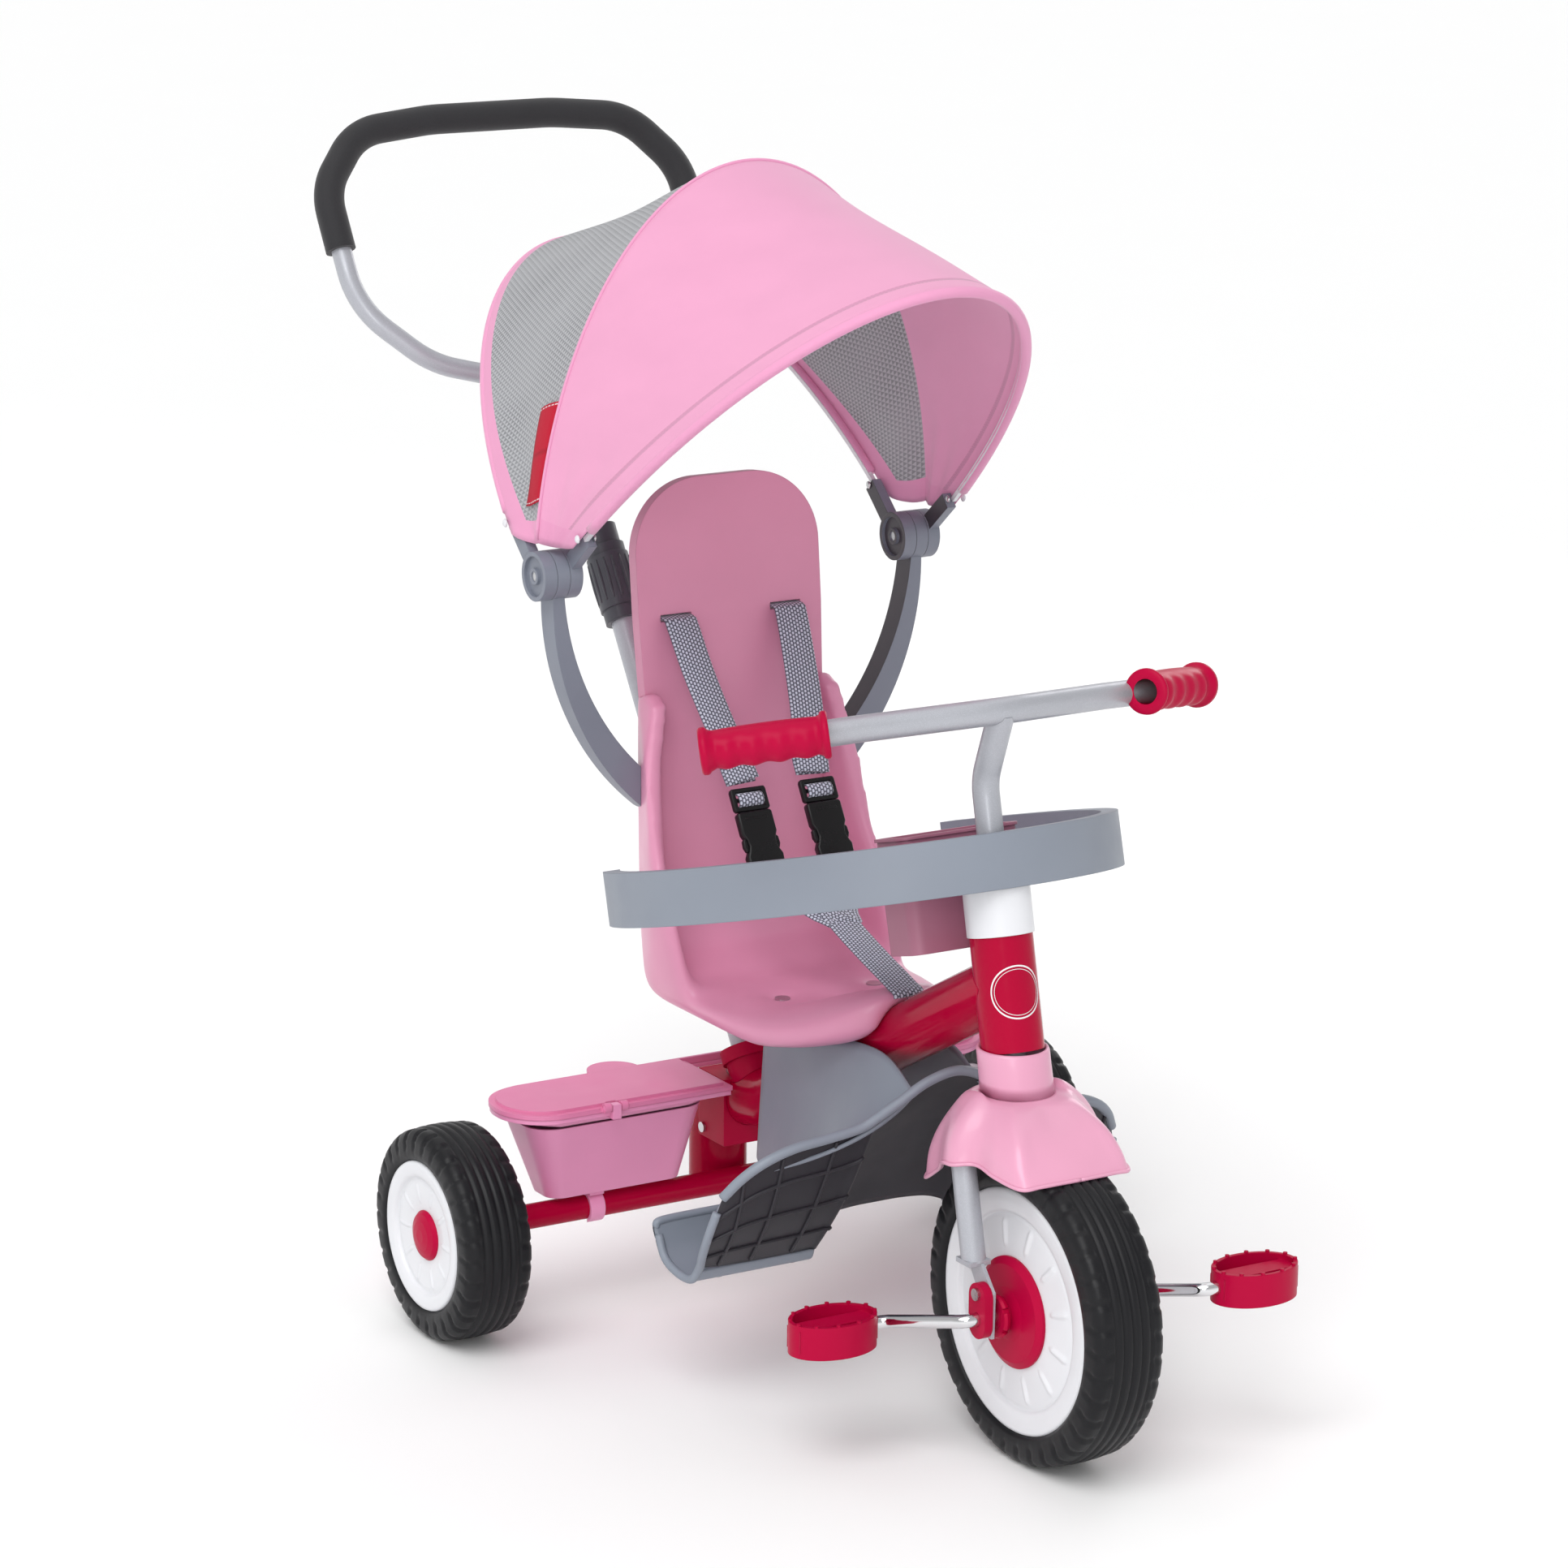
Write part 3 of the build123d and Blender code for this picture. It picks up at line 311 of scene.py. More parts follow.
def rubber(name, colour, rough, **fixed):
    """Tyre rubber with a fine grain and a little dust."""
    t = Tree(name)
    dirt = t.ramp(t.noise(16.0, 6.0), 0.45, 0.75, 0.0, 0.02)
    base = t.mix(dirt, colour, (0.25, 0.24, 0.23))
    roughness = t.ramp(t.noise(30.0, 4.0), 0.3, 0.7, rough - 0.06, rough + 0.08)
    normal = t.bump(t.noise(900.0, 3.0), 0.25, 0.0003, t.rounded(0.0008))
    return t.finish(base, roughness, normal, **fixed)


def foam(name, colour):
    """Closed-cell foam sleeve."""
    t = Tree(name)
    cells = t.add("TexVoronoi", Vector=t.coords(), Scale=900.0).outputs["Distance"]
    base = t.mottled(colour, 0.8, t.noise(20.0, 5.0))
    return t.finish(base, 0.75, t.bump(cells, 0.35, 0.0004), Sheen_Weight=0.15)


def threads(t, uv, pitch):
    """Plain weave height from a UV map in metres: over and under threads of the given pitch."""
    split = t.add("SeparateXYZ", Vector=uv)
    k = 2 * pi / pitch
    a = t.math("SINE", t.times(split.outputs[0], k))
    b = t.math("SINE", t.times(split.outputs[1], k))
    return t.times(a, b), split


def stitches(t, split, lines, pitch=0.0034, half=0.00055):
    """Mask of dashed stitch lines at the given distances on the map's second axis."""
    dash = t.fraction(t.over(split.outputs[0], pitch))
    dash = t.math("LESS_THAN", dash, 0.68)
    mask = None
    for line in lines:
        gap = t.math("ABSOLUTE", t.minus(split.outputs[1], line))
        on = t.times(t.math("LESS_THAN", gap, half), dash)
        mask = on if mask is None else t.math("MAXIMUM", mask, on)
    return mask


def woven(name, colour, uv, pitch=0.0011, lines=(), thread_colour=None, soft=0.25):
    """Cloth with a plain weave, faint slubs and sewn lines, darkened between the sewn lines as painted
    shade.
    """
    t = Tree(name)
    coords = t.coords(uv)
    weave, split = threads(t, coords, pitch)
    slub = t.noise(14.0, 6.0, coords)
    base = t.mottled(colour, 0.95, slub)
    base = t.mix(t.ramp(weave, -1, 1, 0.0, 0.10), base, [c * 0.80 for c in colour])
    height = weave
    if lines:
        sewn = stitches(t, split, lines)
        base = t.mix(t.times(sewn, 0.75), base, thread_colour or [c * 0.66 for c in colour])
        height = t.minus(weave, t.times(sewn, 3.0))
        middle = sum(lines) / len(lines)
        gap = t.math("ABSOLUTE", t.minus(split.outputs[1], middle))
        valley = t.ramp(gap, 0.0, 0.0032)
        # painted shade: darkened towards the middle between the stitch lines, where the seam is sunk
        base = t.mix(valley, [c * 0.72 for c in colour], base)
        height = t.plus(height, t.times(valley, 7.0))
    normal = t.bump(t.plus(height, t.times(slub, 1.5)), 0.35, 0.00025)
    return t.finish(base, 0.86, normal, Sheen_Weight=soft, Sheen_Roughness=0.45)


def printed(name, pale, dark, uv, cell=0.0046):
    """Cloth printed with rows of small plain triangles, alternate rows shifted by half."""
    t = Tree(name)
    coords = t.coords(uv)
    weave, split = threads(t, coords, 0.0010)
    row = t.over(split.outputs[1], cell)
    shift = t.times(t.math("FLOOR", row), 0.5)
    across = t.fraction(t.plus(t.over(split.outputs[0], cell), shift))
    tent = t.math("ABSOLUTE", t.minus(t.times(across, 2.0), 1.0))
    up = t.fraction(row)
    inside = t.ramp(t.minus(up, tent), -0.08, 0.08)
    tone = t.ramp(t.noise(9.0, 3.0, coords), 0.3, 0.7, 0.55, 0.95)
    base = t.mix(t.times(inside, tone), pale, dark)
    base = t.mix(t.ramp(weave, -1, 1, 0.0, 0.12), base, dark)
    return t.finish(base, 0.85, t.bump(weave, 0.35, 0.0002), Sheen_Weight=0.2, Sheen_Roughness=0.5)


def webbing(name, pale, dark, uv, pitch):
    """Harness tape: coarse weave with firm edges, the gaps between the pale yarns darkened as painted
    shade.
    """
    t = Tree(name)
    coords = t.coords(uv)
    split = t.add("SeparateXYZ", Vector=coords)
    across = t.over(split.outputs[0], pitch)
    along = t.over(split.outputs[1], pitch * 1.25)
    along = t.plus(along, t.times(t.math("FLOOR", across), 0.5))
    a = t.math("SINE", t.times(t.fraction(across), pi))
    b = t.math("SINE", t.times(t.fraction(along), pi))
    yarn = t.times(a, b)
    tone = t.noise(120.0, 4.0, coords)
    light = t.mix(tone, [c * 0.8 for c in pale], pale)
    # painted shade: the low gaps between the yarns take the dark colour
    base = t.mix(t.ramp(yarn, 0.25, 0.62), dark, light)
    return t.finish(base, 0.8, t.bump(yarn, 0.7, 0.0007), Sheen_Weight=0.2)


PINK = srgb(224, 128, 170)
FABRIC = srgb(232, 162, 197)
GREY = srgb(133, 140, 152)
MAT = {}


def make_materials():
    MAT.update(
        pink=moulded_plastic("pink_moulding", PINK, 0.40, Coat_Weight=0.08),
        bin_pink=moulded_plastic("pink_bin_moulding", srgb(238, 152, 194), 0.34, Coat_Weight=0.15),
        seat_pink=moulded_plastic("pink_seat_moulding", srgb(226, 150, 182), 0.36, edge=0.002,
                                  Coat_Weight=0.15),
        back_pink=moulded_plastic("pink_seat_back", srgb(220, 146, 176), 0.42, grain=1800.0),
        fender_pink=moulded_plastic("pink_fender_moulding", srgb(226, 160, 188), 0.34, Coat_Weight=0.2),
        # painted shade: the tray tub's pink is darkened for the shade it sits in
        tub_pink=moulded_plastic("pink_tub_moulding_painted_shade", srgb(178, 112, 136), 0.4),
        grey=moulded_plastic("grey_moulding", GREY, 0.46, grain=1700.0, bump=0.2),
        dark=moulded_plastic("charcoal_moulding", srgb(50, 48, 54), 0.42, worn=0.0,
                             Specular_IOR_Level=0.3),
        # the arms' second colour is painted shade on their inward faces
        arm_grey=arm_plastic("grey_arm_moulding", srgb(126, 131, 144), srgb(62, 58, 64)),
        collar=moulded_plastic("dark_collar_moulding", srgb(72, 73, 80), 0.38, Specular_IOR_Level=0.4),
        red=moulded_plastic("crimson_moulding", srgb(180, 4, 58), 0.34, worn=0.0, Specular_IOR_Level=0.1),
        white=moulded_plastic("white_moulding", srgb(226, 227, 231), 0.34, worn=0.0, Coat_Weight=0.2),
        black=moulded_plastic("black_acetal", srgb(18, 17, 19), 0.3, worn=0.0, Specular_IOR_Level=0.3),
        red_paint=painted("crimson_enamel", srgb(172, 2, 50), 0.10, Specular_IOR_Level=0.12),
        silver=painted("silver_metallic_paint", srgb(176, 178, 185), 0.36, 0.5, 0.35, Coat_Weight=0.25),
        chrome=chrome("polished_chrome", (0.80, 0.80, 0.82), 0.05),
        zinc=chrome("zinc_plate", (0.62, 0.62, 0.63), 0.24),
        tyre=rubber("tyre_compound", srgb(24, 24, 27), 0.40, Specular_IOR_Level=0.22),
        foam=foam("black_foam", srgb(34, 33, 37)),
        cloth=woven("pink_canopy_cloth", FABRIC, "edge", lines=(0.021, 0.0245)),
        band=woven("pink_canopy_band", srgb(230, 157, 194), "edge"),
        print=printed("grey_print_cloth", srgb(176, 177, 181), srgb(116, 117, 121), "print"),
        # the webbing's second colour is painted shade in the gaps between its yarns
        web=webbing("grey_webbing", srgb(212, 215, 232), srgb(84, 86, 100), "tape", 0.0029),
        tag=woven("red_label_cloth", srgb(188, 4, 44), "tape", 0.0008, lines=(0.002, 0.0765),
                  thread_colour=srgb(240, 225, 230), soft=0.0),
        decal=moulded_plastic("white_print", srgb(236, 230, 233), 0.35, worn=0.0),
    )


# ---- mesh helpers ----
def shade_smooth(mesh):
    mesh.polygons.foreach_set("use_smooth", [True] * len(mesh.polygons))


def one_material(mesh, mat):
    mesh.materials.clear()
    mesh.materials.append(mat)
    mesh.polygons.foreach_set("material_index", [0] * len(mesh.polygons))


def link(name, mesh, mats):
    obj = new_object(name, mesh)
    for mat in mats:
        mesh.materials.append(mat)
    shade_smooth(mesh)
    return obj


def from_data(name, verts, faces, mats, body=None):
    """Object made from points and faces, riding on a body if one is named."""
    mesh = bpy.data.meshes.new(name)
    mesh.from_pydata([tuple(v) for v in verts], [], faces)
    mesh.validate()
    obj = link(name, mesh, mats)
    if body:
        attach(obj, body)
    return obj


def clamp(value):
    return max(0.0, min(1.0, value))


def turns(count):
    """Angles of a full turn in equal steps."""
    return [2 * pi * k / count for k in range(count)]


def swing(angle, a, b):
    return cos(angle) * a + sin(angle) * b


def quads(rows, cols, round_rows=False, round_cols=False, flip=False):
    """Faces of a grid of points stored row by row, closed round either way if asked."""
    faces = []
    for i in range(rows if round_rows else rows - 1):
        n = (i + 1) % rows
        for j in range(cols if round_cols else cols - 1):
            m = (j + 1) % cols
            face = (i * cols + j, i * cols + m, n * cols + m, n * cols + j)
            faces.append(face[:1] + face[:0:-1] if flip else face)
    return faces


def end_caps(rows, cols):
    """Faces over the first and the last ring of a tube."""
    return [tuple(reversed(range(cols))), tuple((rows - 1) * cols + k for k in range(cols))]


def face_outward(mesh):
    bm = bmesh.new()
    bm.from_mesh(mesh)
    bmesh.ops.recalc_face_normals(bm, faces=bm.faces)
    bm.to_mesh(mesh)
    bm.free()


def baked(obj):
    """Replaces the object's mesh by what its modifiers make of it."""
    deps = bpy.context.evaluated_depsgraph_get()
    mesh = bpy.data.meshes.new_from_object(obj.evaluated_get(deps), preserve_all_data_layers=True,
                                           depsgraph=deps)
    old = obj.data
    obj.modifiers.clear()
    obj.data = mesh
    mesh.name = obj.name
    bpy.data.meshes.remove(old)


def thicken(obj, thickness, offset=None):
    """Solid wall on a sheet of faces."""
    solid = obj.modifiers.new("cloth", "SOLIDIFY")
    solid.thickness = thickness
    if offset is not None:
        solid.offset = offset
    baked(obj)
    shade_smooth(obj.data)


def ease(obj, name, rounds, group=""):
    """Smoothing modifier, held to a vertex group if one is named."""
    modifier = obj.modifiers.new(name, "SMOOTH")
    modifier.iterations = rounds
    modifier.factor = 0.5
    modifier.vertex_group = group


def catmull(a, b, c, d, t):
    """Point of a Catmull-Rom curve at the share t of the way from b to c."""
    return 0.5 * (2 * b + (c - a) * t + (2 * a - 5 * b + 4 * c - d) * t * t
                  + (3 * b - a - 3 * c + d) * t ** 3)


def smooth_path(points, per=8):
    """Catmull-Rom curve through the points."""
    pts = [Vector(p) for p in points]
    pts = [2 * pts[0] - pts[1]] + pts + [2 * pts[-1] - pts[-2]]
    out = [catmull(*four, i / per) for four in zip(pts, pts[1:], pts[2:], pts[3:]) for i in range(per)]
    return out + [pts[-2]]


def tube(name, points, radius, mat, body, segs=14):
    """Round tube along a line of points; radius is a number or a function of the share of the way."""
    pts = [Vector(p) for p in points]
    count = len(pts)
    verts = []
    along = (pts[1] - pts[0]).normalized()
    side = along.orthogonal().normalized()
    for i, point in enumerate(pts):
        along = (pts[min(i + 1, count - 1)] - pts[max(i - 1, 0)]).normalized()
        side = (side - along * side.dot(along)).normalized()
        other = along.cross(side)
        r = radius(i / (count - 1)) if callable(radius) else radius
        verts += [point + r * swing(angle, side, other) for angle in turns(segs)]
    faces = quads(count, segs, round_cols=True) + end_caps(count, segs)
    return from_data(name, verts, faces, [mat], body)


def set_uv(mesh, name, coords):
    """UV map from one (u, v) pair per vertex."""
    layer = mesh.uv_layers.get(name) or mesh.uv_layers.new(name=name)
    loops = np.zeros(len(mesh.loops), int)
    mesh.loops.foreach_get("vertex_index", loops)
    layer.data.foreach_set("uv", np.array(coords, np.float32)[loops].ravel())


def tape(name, points, across, width, thick, per=8):
    """Harness tape with rounded edges along a smooth path; across is its wide direction there."""
    path = smooth_path(points, per)
    wide = smooth_path(across, per)
    half, edge = width / 2, thick / 2
    section = [(-half, 0), (-half + edge, edge), (0, edge), (half - edge, edge), (half, 0),
               (half - edge, -edge), (0, -edge), (-half + edge, -edge)]
    verts, coords = [], []
    run = 0.0
    for i, point in enumerate(path):
        if i:
            run += (point - path[i - 1]).length
        along = (path[min(i + 1, len(path) - 1)] - path[max(i - 1, 0)]).normalized()
        side = (wide[i] - along * wide[i].dot(along)).normalized()
        up = along.cross(side)
        for u, v in section:
            verts.append(point + side * u + up * v)
            coords.append((u + half, run))
    size = len(path), len(section)
    faces = quads(*size, round_cols=True) + end_caps(*size)
    obj = from_data(name, verts, faces, [MAT["web"]], "frame")
    set_uv(obj.data, "tape", coords)
    return obj


def plate(name, outline, holes, thick, matrix, bevel):
    """Black plate with round edges and holes, placed by a matrix; outline points are (x, y) in metres."""
    mesh = bpy.data.meshes.new(name)
    bm = bmesh.new()
    edges = []
    for ring in [outline] + list(holes):
        loop = [bm.verts.new((x, y, 0)) for x, y in ring]
        edges += [bm.edges.new((a, b)) for a, b in zip(loop, loop[1:] + loop[:1])]
    bmesh.ops.triangle_fill(bm, edges=edges, use_beauty=True, use_dissolve=True)
    bm.to_mesh(mesh)
    bm.free()
    obj = link(name, mesh, [MAT["black"]])
    solid = obj.modifiers.new("thickness", "SOLIDIFY")
    solid.thickness = thick
    solid.offset = 0
    edge = obj.modifiers.new("edge", "BEVEL")
    edge.width = bevel
    edge.segments = 3
    edge.limit_method = "ANGLE"
    edge.angle_limit = radians(40)
    baked(obj)
    obj.data.transform(matrix)
    shade_smooth(obj.data)
    bpy.context.view_layer.update()
    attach(obj, "frame")
    return obj


def frame_at(origin, x_dir, normal):
    """Matrix with local X along x_dir and local Z along normal."""
    z = Vector(normal).normalized()
    x = Vector(x_dir)
    x = (x - z * x.dot(z)).normalized()
    y = z.cross(x)
    return Matrix([[x[i], y[i], z[i], Vector(origin)[i]] for i in range(3)] + [[0, 0, 0, 1]])


def make_seat_shell():
    """Rounded skin grown over the seat bucket, softest low down, for a blow-moulded look."""
    node = NODES["seat_base"]
    obj = new_object("seat_shell", node.data.copy())
    obj.matrix_world = node.matrix_world
    remesh = obj.modifiers.new("skin", "REMESH")
    remesh.mode = "VOXEL"
    remesh.voxel_size = 0.0028
    ease(obj, "ease", 16)
    baked(obj)
    start, end = 0.47, 0.37  # heights between which the extra rounding sets in
    group = obj.vertex_groups.new(name="low")
    for v in obj.data.vertices:
        group.add([v.index], clamp((start - v.co.z) / (start - end)), "REPLACE")
    ease(obj, "round", 110, "low")
    baked(obj)
    obj.vertex_groups.clear()
    one_material(obj.data, MAT["seat_pink"])
    shade_smooth(obj.data)
    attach(obj, "frame")
    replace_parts(obj, "seat_base")


# ---- canopy ----
HUB = Vector(JOINTS["rear_bow_tilt"]["pos_m"])
# rear bow, seam and front bow: tilt in degrees, then half width, height and sideways shift in metres
ARCHES = ((-47.0, 0.186, 0.352, -0.012), (4.0, 0.192, 0.338, 0.0), (50.0, 0.188, 0.418, 0.012))
CUT = 0.044  # height above the hubs where the cloth ends
ROWS = 140  # across the cover
BAND_COLUMN, SEAM_COLUMN, FRONT_COLUMNS = 4, 22, 34
CORNER = 0.945  # share of an arch beyond which the cover is band cloth
CLOTH, HEM = 0.0014, 0.0085  # metres: the cloth's thickness and its turn round the rear bow


def arch_point(index, u, inset=0.0, cut=CUT):
    """Point of a canopy arch; u runs from -1 at the right hub to 1 at the left one."""
    tilt, half, height, shift = ARCHES[index]
    half, height = half - inset, height - inset
    phi = u * acos(min(1.0, cut / height))
    reach, lean = height * cos(phi), radians(tilt)
    return Vector((shift + half * sin(phi), HUB.y - reach * sin(lean),
                   HUB.z + reach * cos(lean)))


def fold(value, centre, spread):
    return exp(-((value - centre) / spread) ** 2)


def canopy_point(u, t):
    """Point of the cover: t is 0 at the rear bow, 1 at the seam and 2 at the front bow."""
    part = min(int(t), 1)
    f = t - part
    cut = CUT - 0.015 * sin(0.5 * pi * t) ** 0.7 if 0 < t < 2 else CUT
    a, b = arch_point(part, u, 0.0, cut), arch_point(part + 1, u, 0.0, cut)
    point = a.lerp(b, f)
    hub = Vector((0.5 * (a.x + b.x) * 0.2, HUB.y, HUB.z))
    inward = (hub - point).normalized()
    slack = sin(pi * f)
    depth = 0.004 * slack
    if part == 0:
        depth += 0.0035 * slack * sin(9 * u + 5 * f + 0.6) * fold(u, -0.55, 0.5)
        depth += 0.003 * slack * sin(14 * u - 6 * f) * fold(u, 0.6, 0.4)
    else:
        depth += 0.004 * slack * sin(5 * u + 3.4 * f + 1.0) * fold(abs(u), 0.35, 0.4)
        depth += 0.0014 * slack * sin(17 * f + 3 * u) * fold(abs(u), 0.90, 0.10)
    return point + inward * depth


def cover_shares(u):
    """Shares from rear to front; the first columns make a band of even width at the rear bow."""
    span = (arch_point(1, u) - arch_point(0, u)).length
    band = min(0.5, (0.015 + 0.009 * fold(abs(u), 1.0, 0.2)) / span)
    count = SEAM_COLUMN - BAND_COLUMN
    shares = [band * i / BAND_COLUMN for i in range(BAND_COLUMN)]
    shares += [band + (1 - band) * i / count for i in range(count)]
    return shares + [1 + i / FRONT_COLUMNS for i in range(FRONT_COLUMNS + 1)]


def canopy_cover():
    """One continuous sheet from the rear bow over the seam to the front bow."""
    us = [-1 + 2 * i / ROWS for i in range(ROWS + 1)]
    grid = [[canopy_point(u, t) for t in cover_shares(u)] for u in us]
    verts, edge_uv, print_uv = [], [], []
    run = 0.0
    for i, row in enumerate(grid):
        if i:
            run += (grid[i][SEAM_COLUMN] - grid[i - 1][SEAM_COLUMN]).length
        steps = [0.0]
        for a, b in zip(row, row[1:]):
            steps.append(steps[-1] + (b - a).length)
        for j, point in enumerate(row):
            verts.append(point)
            from_rear = steps[j] + HEM
            edge_uv.append((run, min(steps[-1] - steps[j], from_rear) if j > 2 else from_rear))
            print_uv.append((run, steps[SEAM_COLUMN] - steps[j]))
    cols = len(grid[0])
    slots = []
    for u, v in zip(us, us[1:]):
        corner = min(abs(u), abs(v)) > CORNER
        for j in range(cols - 1):
            slots.append(1 if corner or j < BAND_COLUMN else (2 if j < SEAM_COLUMN else 0))
    mats = [MAT[look] for look in ("cloth", "band", "print")]
    cover = from_data("canopy_cover", verts, quads(len(us), cols), mats)
    cover.data.polygons.foreach_set("material_index", slots)
    set_uv(cover.data, "edge", edge_uv)
    set_uv(cover.data, "print", print_uv)
    area = sum(p.area for p in cover.data.polygons)
    thicken(cover, CLOTH, 0)
    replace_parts(cover, "canopy_rear_panel", "canopy_front_panel")
    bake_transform(cover)
    return cover, area


def canopy_trim():
    """Rolled hems over both bows and the seam's piping."""
    spans = [-0.995 + 1.99 * i / 90 for i in range(91)]
    pieces = []
    for name, index, radius in (("front", 2, 0.0048), ("rear", 0, 0.0046)):
        hem = [arch_point(index, u, 0.0033) for u in spans[2:-2]]
        pieces.append(tube(f"canopy_{name}_hem", hem, radius, MAT["band"], name + "_bow"))
    line = [canopy_point(u, 1.0) for u in spans]
    line = [p + (p - HUB).normalized() * 0.0008 for p in line]
    pieces.append(tube("canopy_seam_piping", line, 0.0016, MAT["band"], "rear_bow", 8))
    for obj in pieces:
        set_uv(obj.data, "edge", [(i / 14 * 0.004, 0.006) for i in range(len(obj.data.vertices))])
    return pieces


def canopy_label():
    """Plain red label sewn into the seam on the right side."""
    low, high, length, width = -0.93, -0.755, 0.0785, 0.031
    rows, cols = 16, 5
    verts, coords = [], []
    for i in range(rows + 1):
        u = low + (high - low) * i / rows
        for j in range(cols + 1):
            span = (canopy_point(u, 1.0) - canopy_point(u, 0.0)).length
            point = canopy_point(u, 1.0 - (0.001 + width * j / cols) / span)
            out = (point - Vector((0, HUB.y, HUB.z))).normalized()
            verts.append(point + out * (0.0019 + 0.0012 * sin(pi * j / cols)))
            coords.append((j / cols * 0.019, i / rows * length))
    obj = from_data("canopy_label", verts, quads(rows + 1, cols + 1), [MAT["tag"]], "rear_bow")
    set_uv(obj.data, "tape", coords)
    thicken(obj, 0.0008)
    return obj


def dome(name, centre, normal, radius, height, mat, body):
    """Small domed head such as a rivet."""
    rings, segs = 6, 20
    m = frame_at(centre, Vector(normal).orthogonal(), normal)
    verts = []
    for i in range(rings):
        a = 0.5 * pi * i / rings
        wide = radius * cos(a)
        for b in turns(segs):
            verts.append(m @ Vector((wide * cos(b), wide * sin(b), height * sin(a))))
    verts.append(m @ Vector((0, 0, height)))
    last, tip = (rings - 1) * segs, len(verts) - 1
    faces = quads(rings, segs, round_cols=True)
    faces += [(last + k, last + (k + 1) % segs, tip) for k in range(segs)]
    faces.append(tuple(reversed(range(segs))))
    from_data(name, verts, faces, [mat], body)


def canopy_rivets():
    for index, end in ((0, "rear"), (2, "front")):
        for side, hand in SIDES:
            out = Vector((side, 0, 0))
            spot = arch_point(index, side * 0.975) + out * 0.0026
            dome(f"rivet_{end}_{hand}", spot, out, 0.0036, 0.0022, MAT["white"], end + "_bow")
            inner = arch_point(index, side * 0.975, 0.0085) - out * 0.004
            dome(f"rivet_inner_{end}_{hand}", inner, -out, 0.0034, 0.0018, MAT["zinc"], end + "_bow")


def make_canopy():
    cover, area = canopy_cover()
    sewn_on = canopy_trim() + [canopy_label()]
    canopy_rivets()


# ---- harness ----
BUCKLE_TOP = (34.0, 414.0, 464.0)  # left buckle's ends in row millimetres
BUCKLE_LOW = (30.0, 376.0, 400.0)
WIDE = Vector((1, 0, 0))
# half outlines in millimetres from the top of the buckle: half width, distance down
SLIDER = [(16, 0.4), (17, 3), (17, 19), (15.5, 21)]
SHELL = [(15.5, 21.5), (16.5, 24), (16.5, 41), (14, 46), (13.2, 52), (14.5, 56), (17, 61), (16.5, 72.5),
         (14.5, 74.0)]
PRONG = [(14.2, 43), (17, 46), (17.4, 52), (15.5, 56.5), (13, 55), (13, 47)]


def both_sides(half):
    return [(-half[0][0], half[0][1])] + half + [(-x, y) for x, y in half[:0:-1]]


def box_outline(wide, low, high):
    return [(-wide, low), (wide, low), (wide, high), (-wide, high)]


def buckle(side, hand):
    """Side-release buckle: a slider with the tape round its bar, a body with a waist, and two prongs."""
    name = "buckle_shell_" + hand
    top, low = P(side * BUCKLE_TOP[0], *BUCKLE_TOP[1:]), P(side * BUCKLE_LOW[0], *BUCKLE_LOW[1:])
    along = (low - top).normalized()
    normal = along.cross(WIDE)
    normal = normal if normal.y < 0 else -normal
    m = frame_at(top, WIDE, normal)
    turned = m.to_3x3()
    down = 1 if (turned @ Vector((0, 1, 0))).dot(along) > 0 else -1
    mm = 0.001

    def ring(points):
        return [(x * mm, down * y * mm) for x, y in points]

    windows = [ring(box_outline(13, 4, 9)), ring(box_outline(13, 12.5, 17))]
    plate(name + "_slider", ring(both_sides(SLIDER)), windows, 5.5 * mm, m, 1.1 * mm)
    shell = plate(name + "_body", ring(both_sides(SHELL)), [], 8.4 * mm, m, 1.6 * mm)
    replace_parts(shell, "buckle_" + hand)
    for flip, mark in ((-1, "a"), (1, "b")):
        prong = ring([(flip * x, y) for x, y in PRONG])
        plate(f"{name}_prong{mark}", prong, [], 5 * mm, m, 0.9 * mm)
    rib_place = m.copy()
    rib_place.translation = m.translation + turned @ Vector((0, 0, 4.1 * mm))
    plate(name + "_rib", ring(box_outline(11, 27, 29)), [], 0.9 * mm, rib_place, 0.3 * mm)
    # the tape's turn over the slider's middle bar
    centre = m @ Vector((0, down * 10.8 * mm, 0))
    drop = turned @ Vector((0, down, 0))
    out = turned @ Vector((0, 0, 1))
    turn = [(-0.0062, -0.0015), (-0.0042, 0.0032), (0, 0.0046), (0.0042, 0.0032), (0.0062, -0.0015)]
    tape(name + "_turn", [centre + drop * a + out * b for a, b in turn], [WIDE] * 5, 0.0245, 0.0017, 5)


def make_harness():
    for side, hand in SIDES:
        def path(*points):
            return [P(side * x, y, z) for x, y, z in points]

        def leans(*shares):
            return [Vector((1, side * a, side * b)) for a, b in shares]

        level = (0, 0)
        strap = tape("shoulder_web_" + hand,
                     path((54, 512, 596.5), (54, 494, 597), (53.5, 487, 590), (50, 468, 556),
                          (44.5, 447, 521), (38, 429, 490), (34.2, 416.6, 469.2)),
                     leans(level, level, level, (0, 0.05), (0, 0.12), (0, 0.1), level), 0.031, 0.0021)
        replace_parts(strap, "shoulder_strap_" + hand)
        tape("strap_tail_" + hand, path((37, 433, 490), (35.5, 429.5, 478), (34.5, 421, 466)), [WIDE] * 3,
             0.0295, 0.0018, 5)
        buckle(side, hand)
        tape("lap_web_" + hand,
             path((30, 375, 399.2), (27, 362, 391.5), (19, 345, 381.8), (9, 326, 373.2), (3, 311, 367.6)),
             leans(level, level, (0.25, 0), (0.35, 0), level), 0.029, 0.0021)
    middle = [P(0, y, z) for y, z in ((327, 374.2), (300, 362.6), (262, 349.6), (232, 340.4),
                                      (217, 335.5), (210.5, 334.1), (206.8, 331.8), (206.2, 329.5))]
    crotch = tape("crotch_web", middle, [WIDE] * len(middle), 0.030, 0.0023)
    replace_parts(crotch, "crotch_strap")


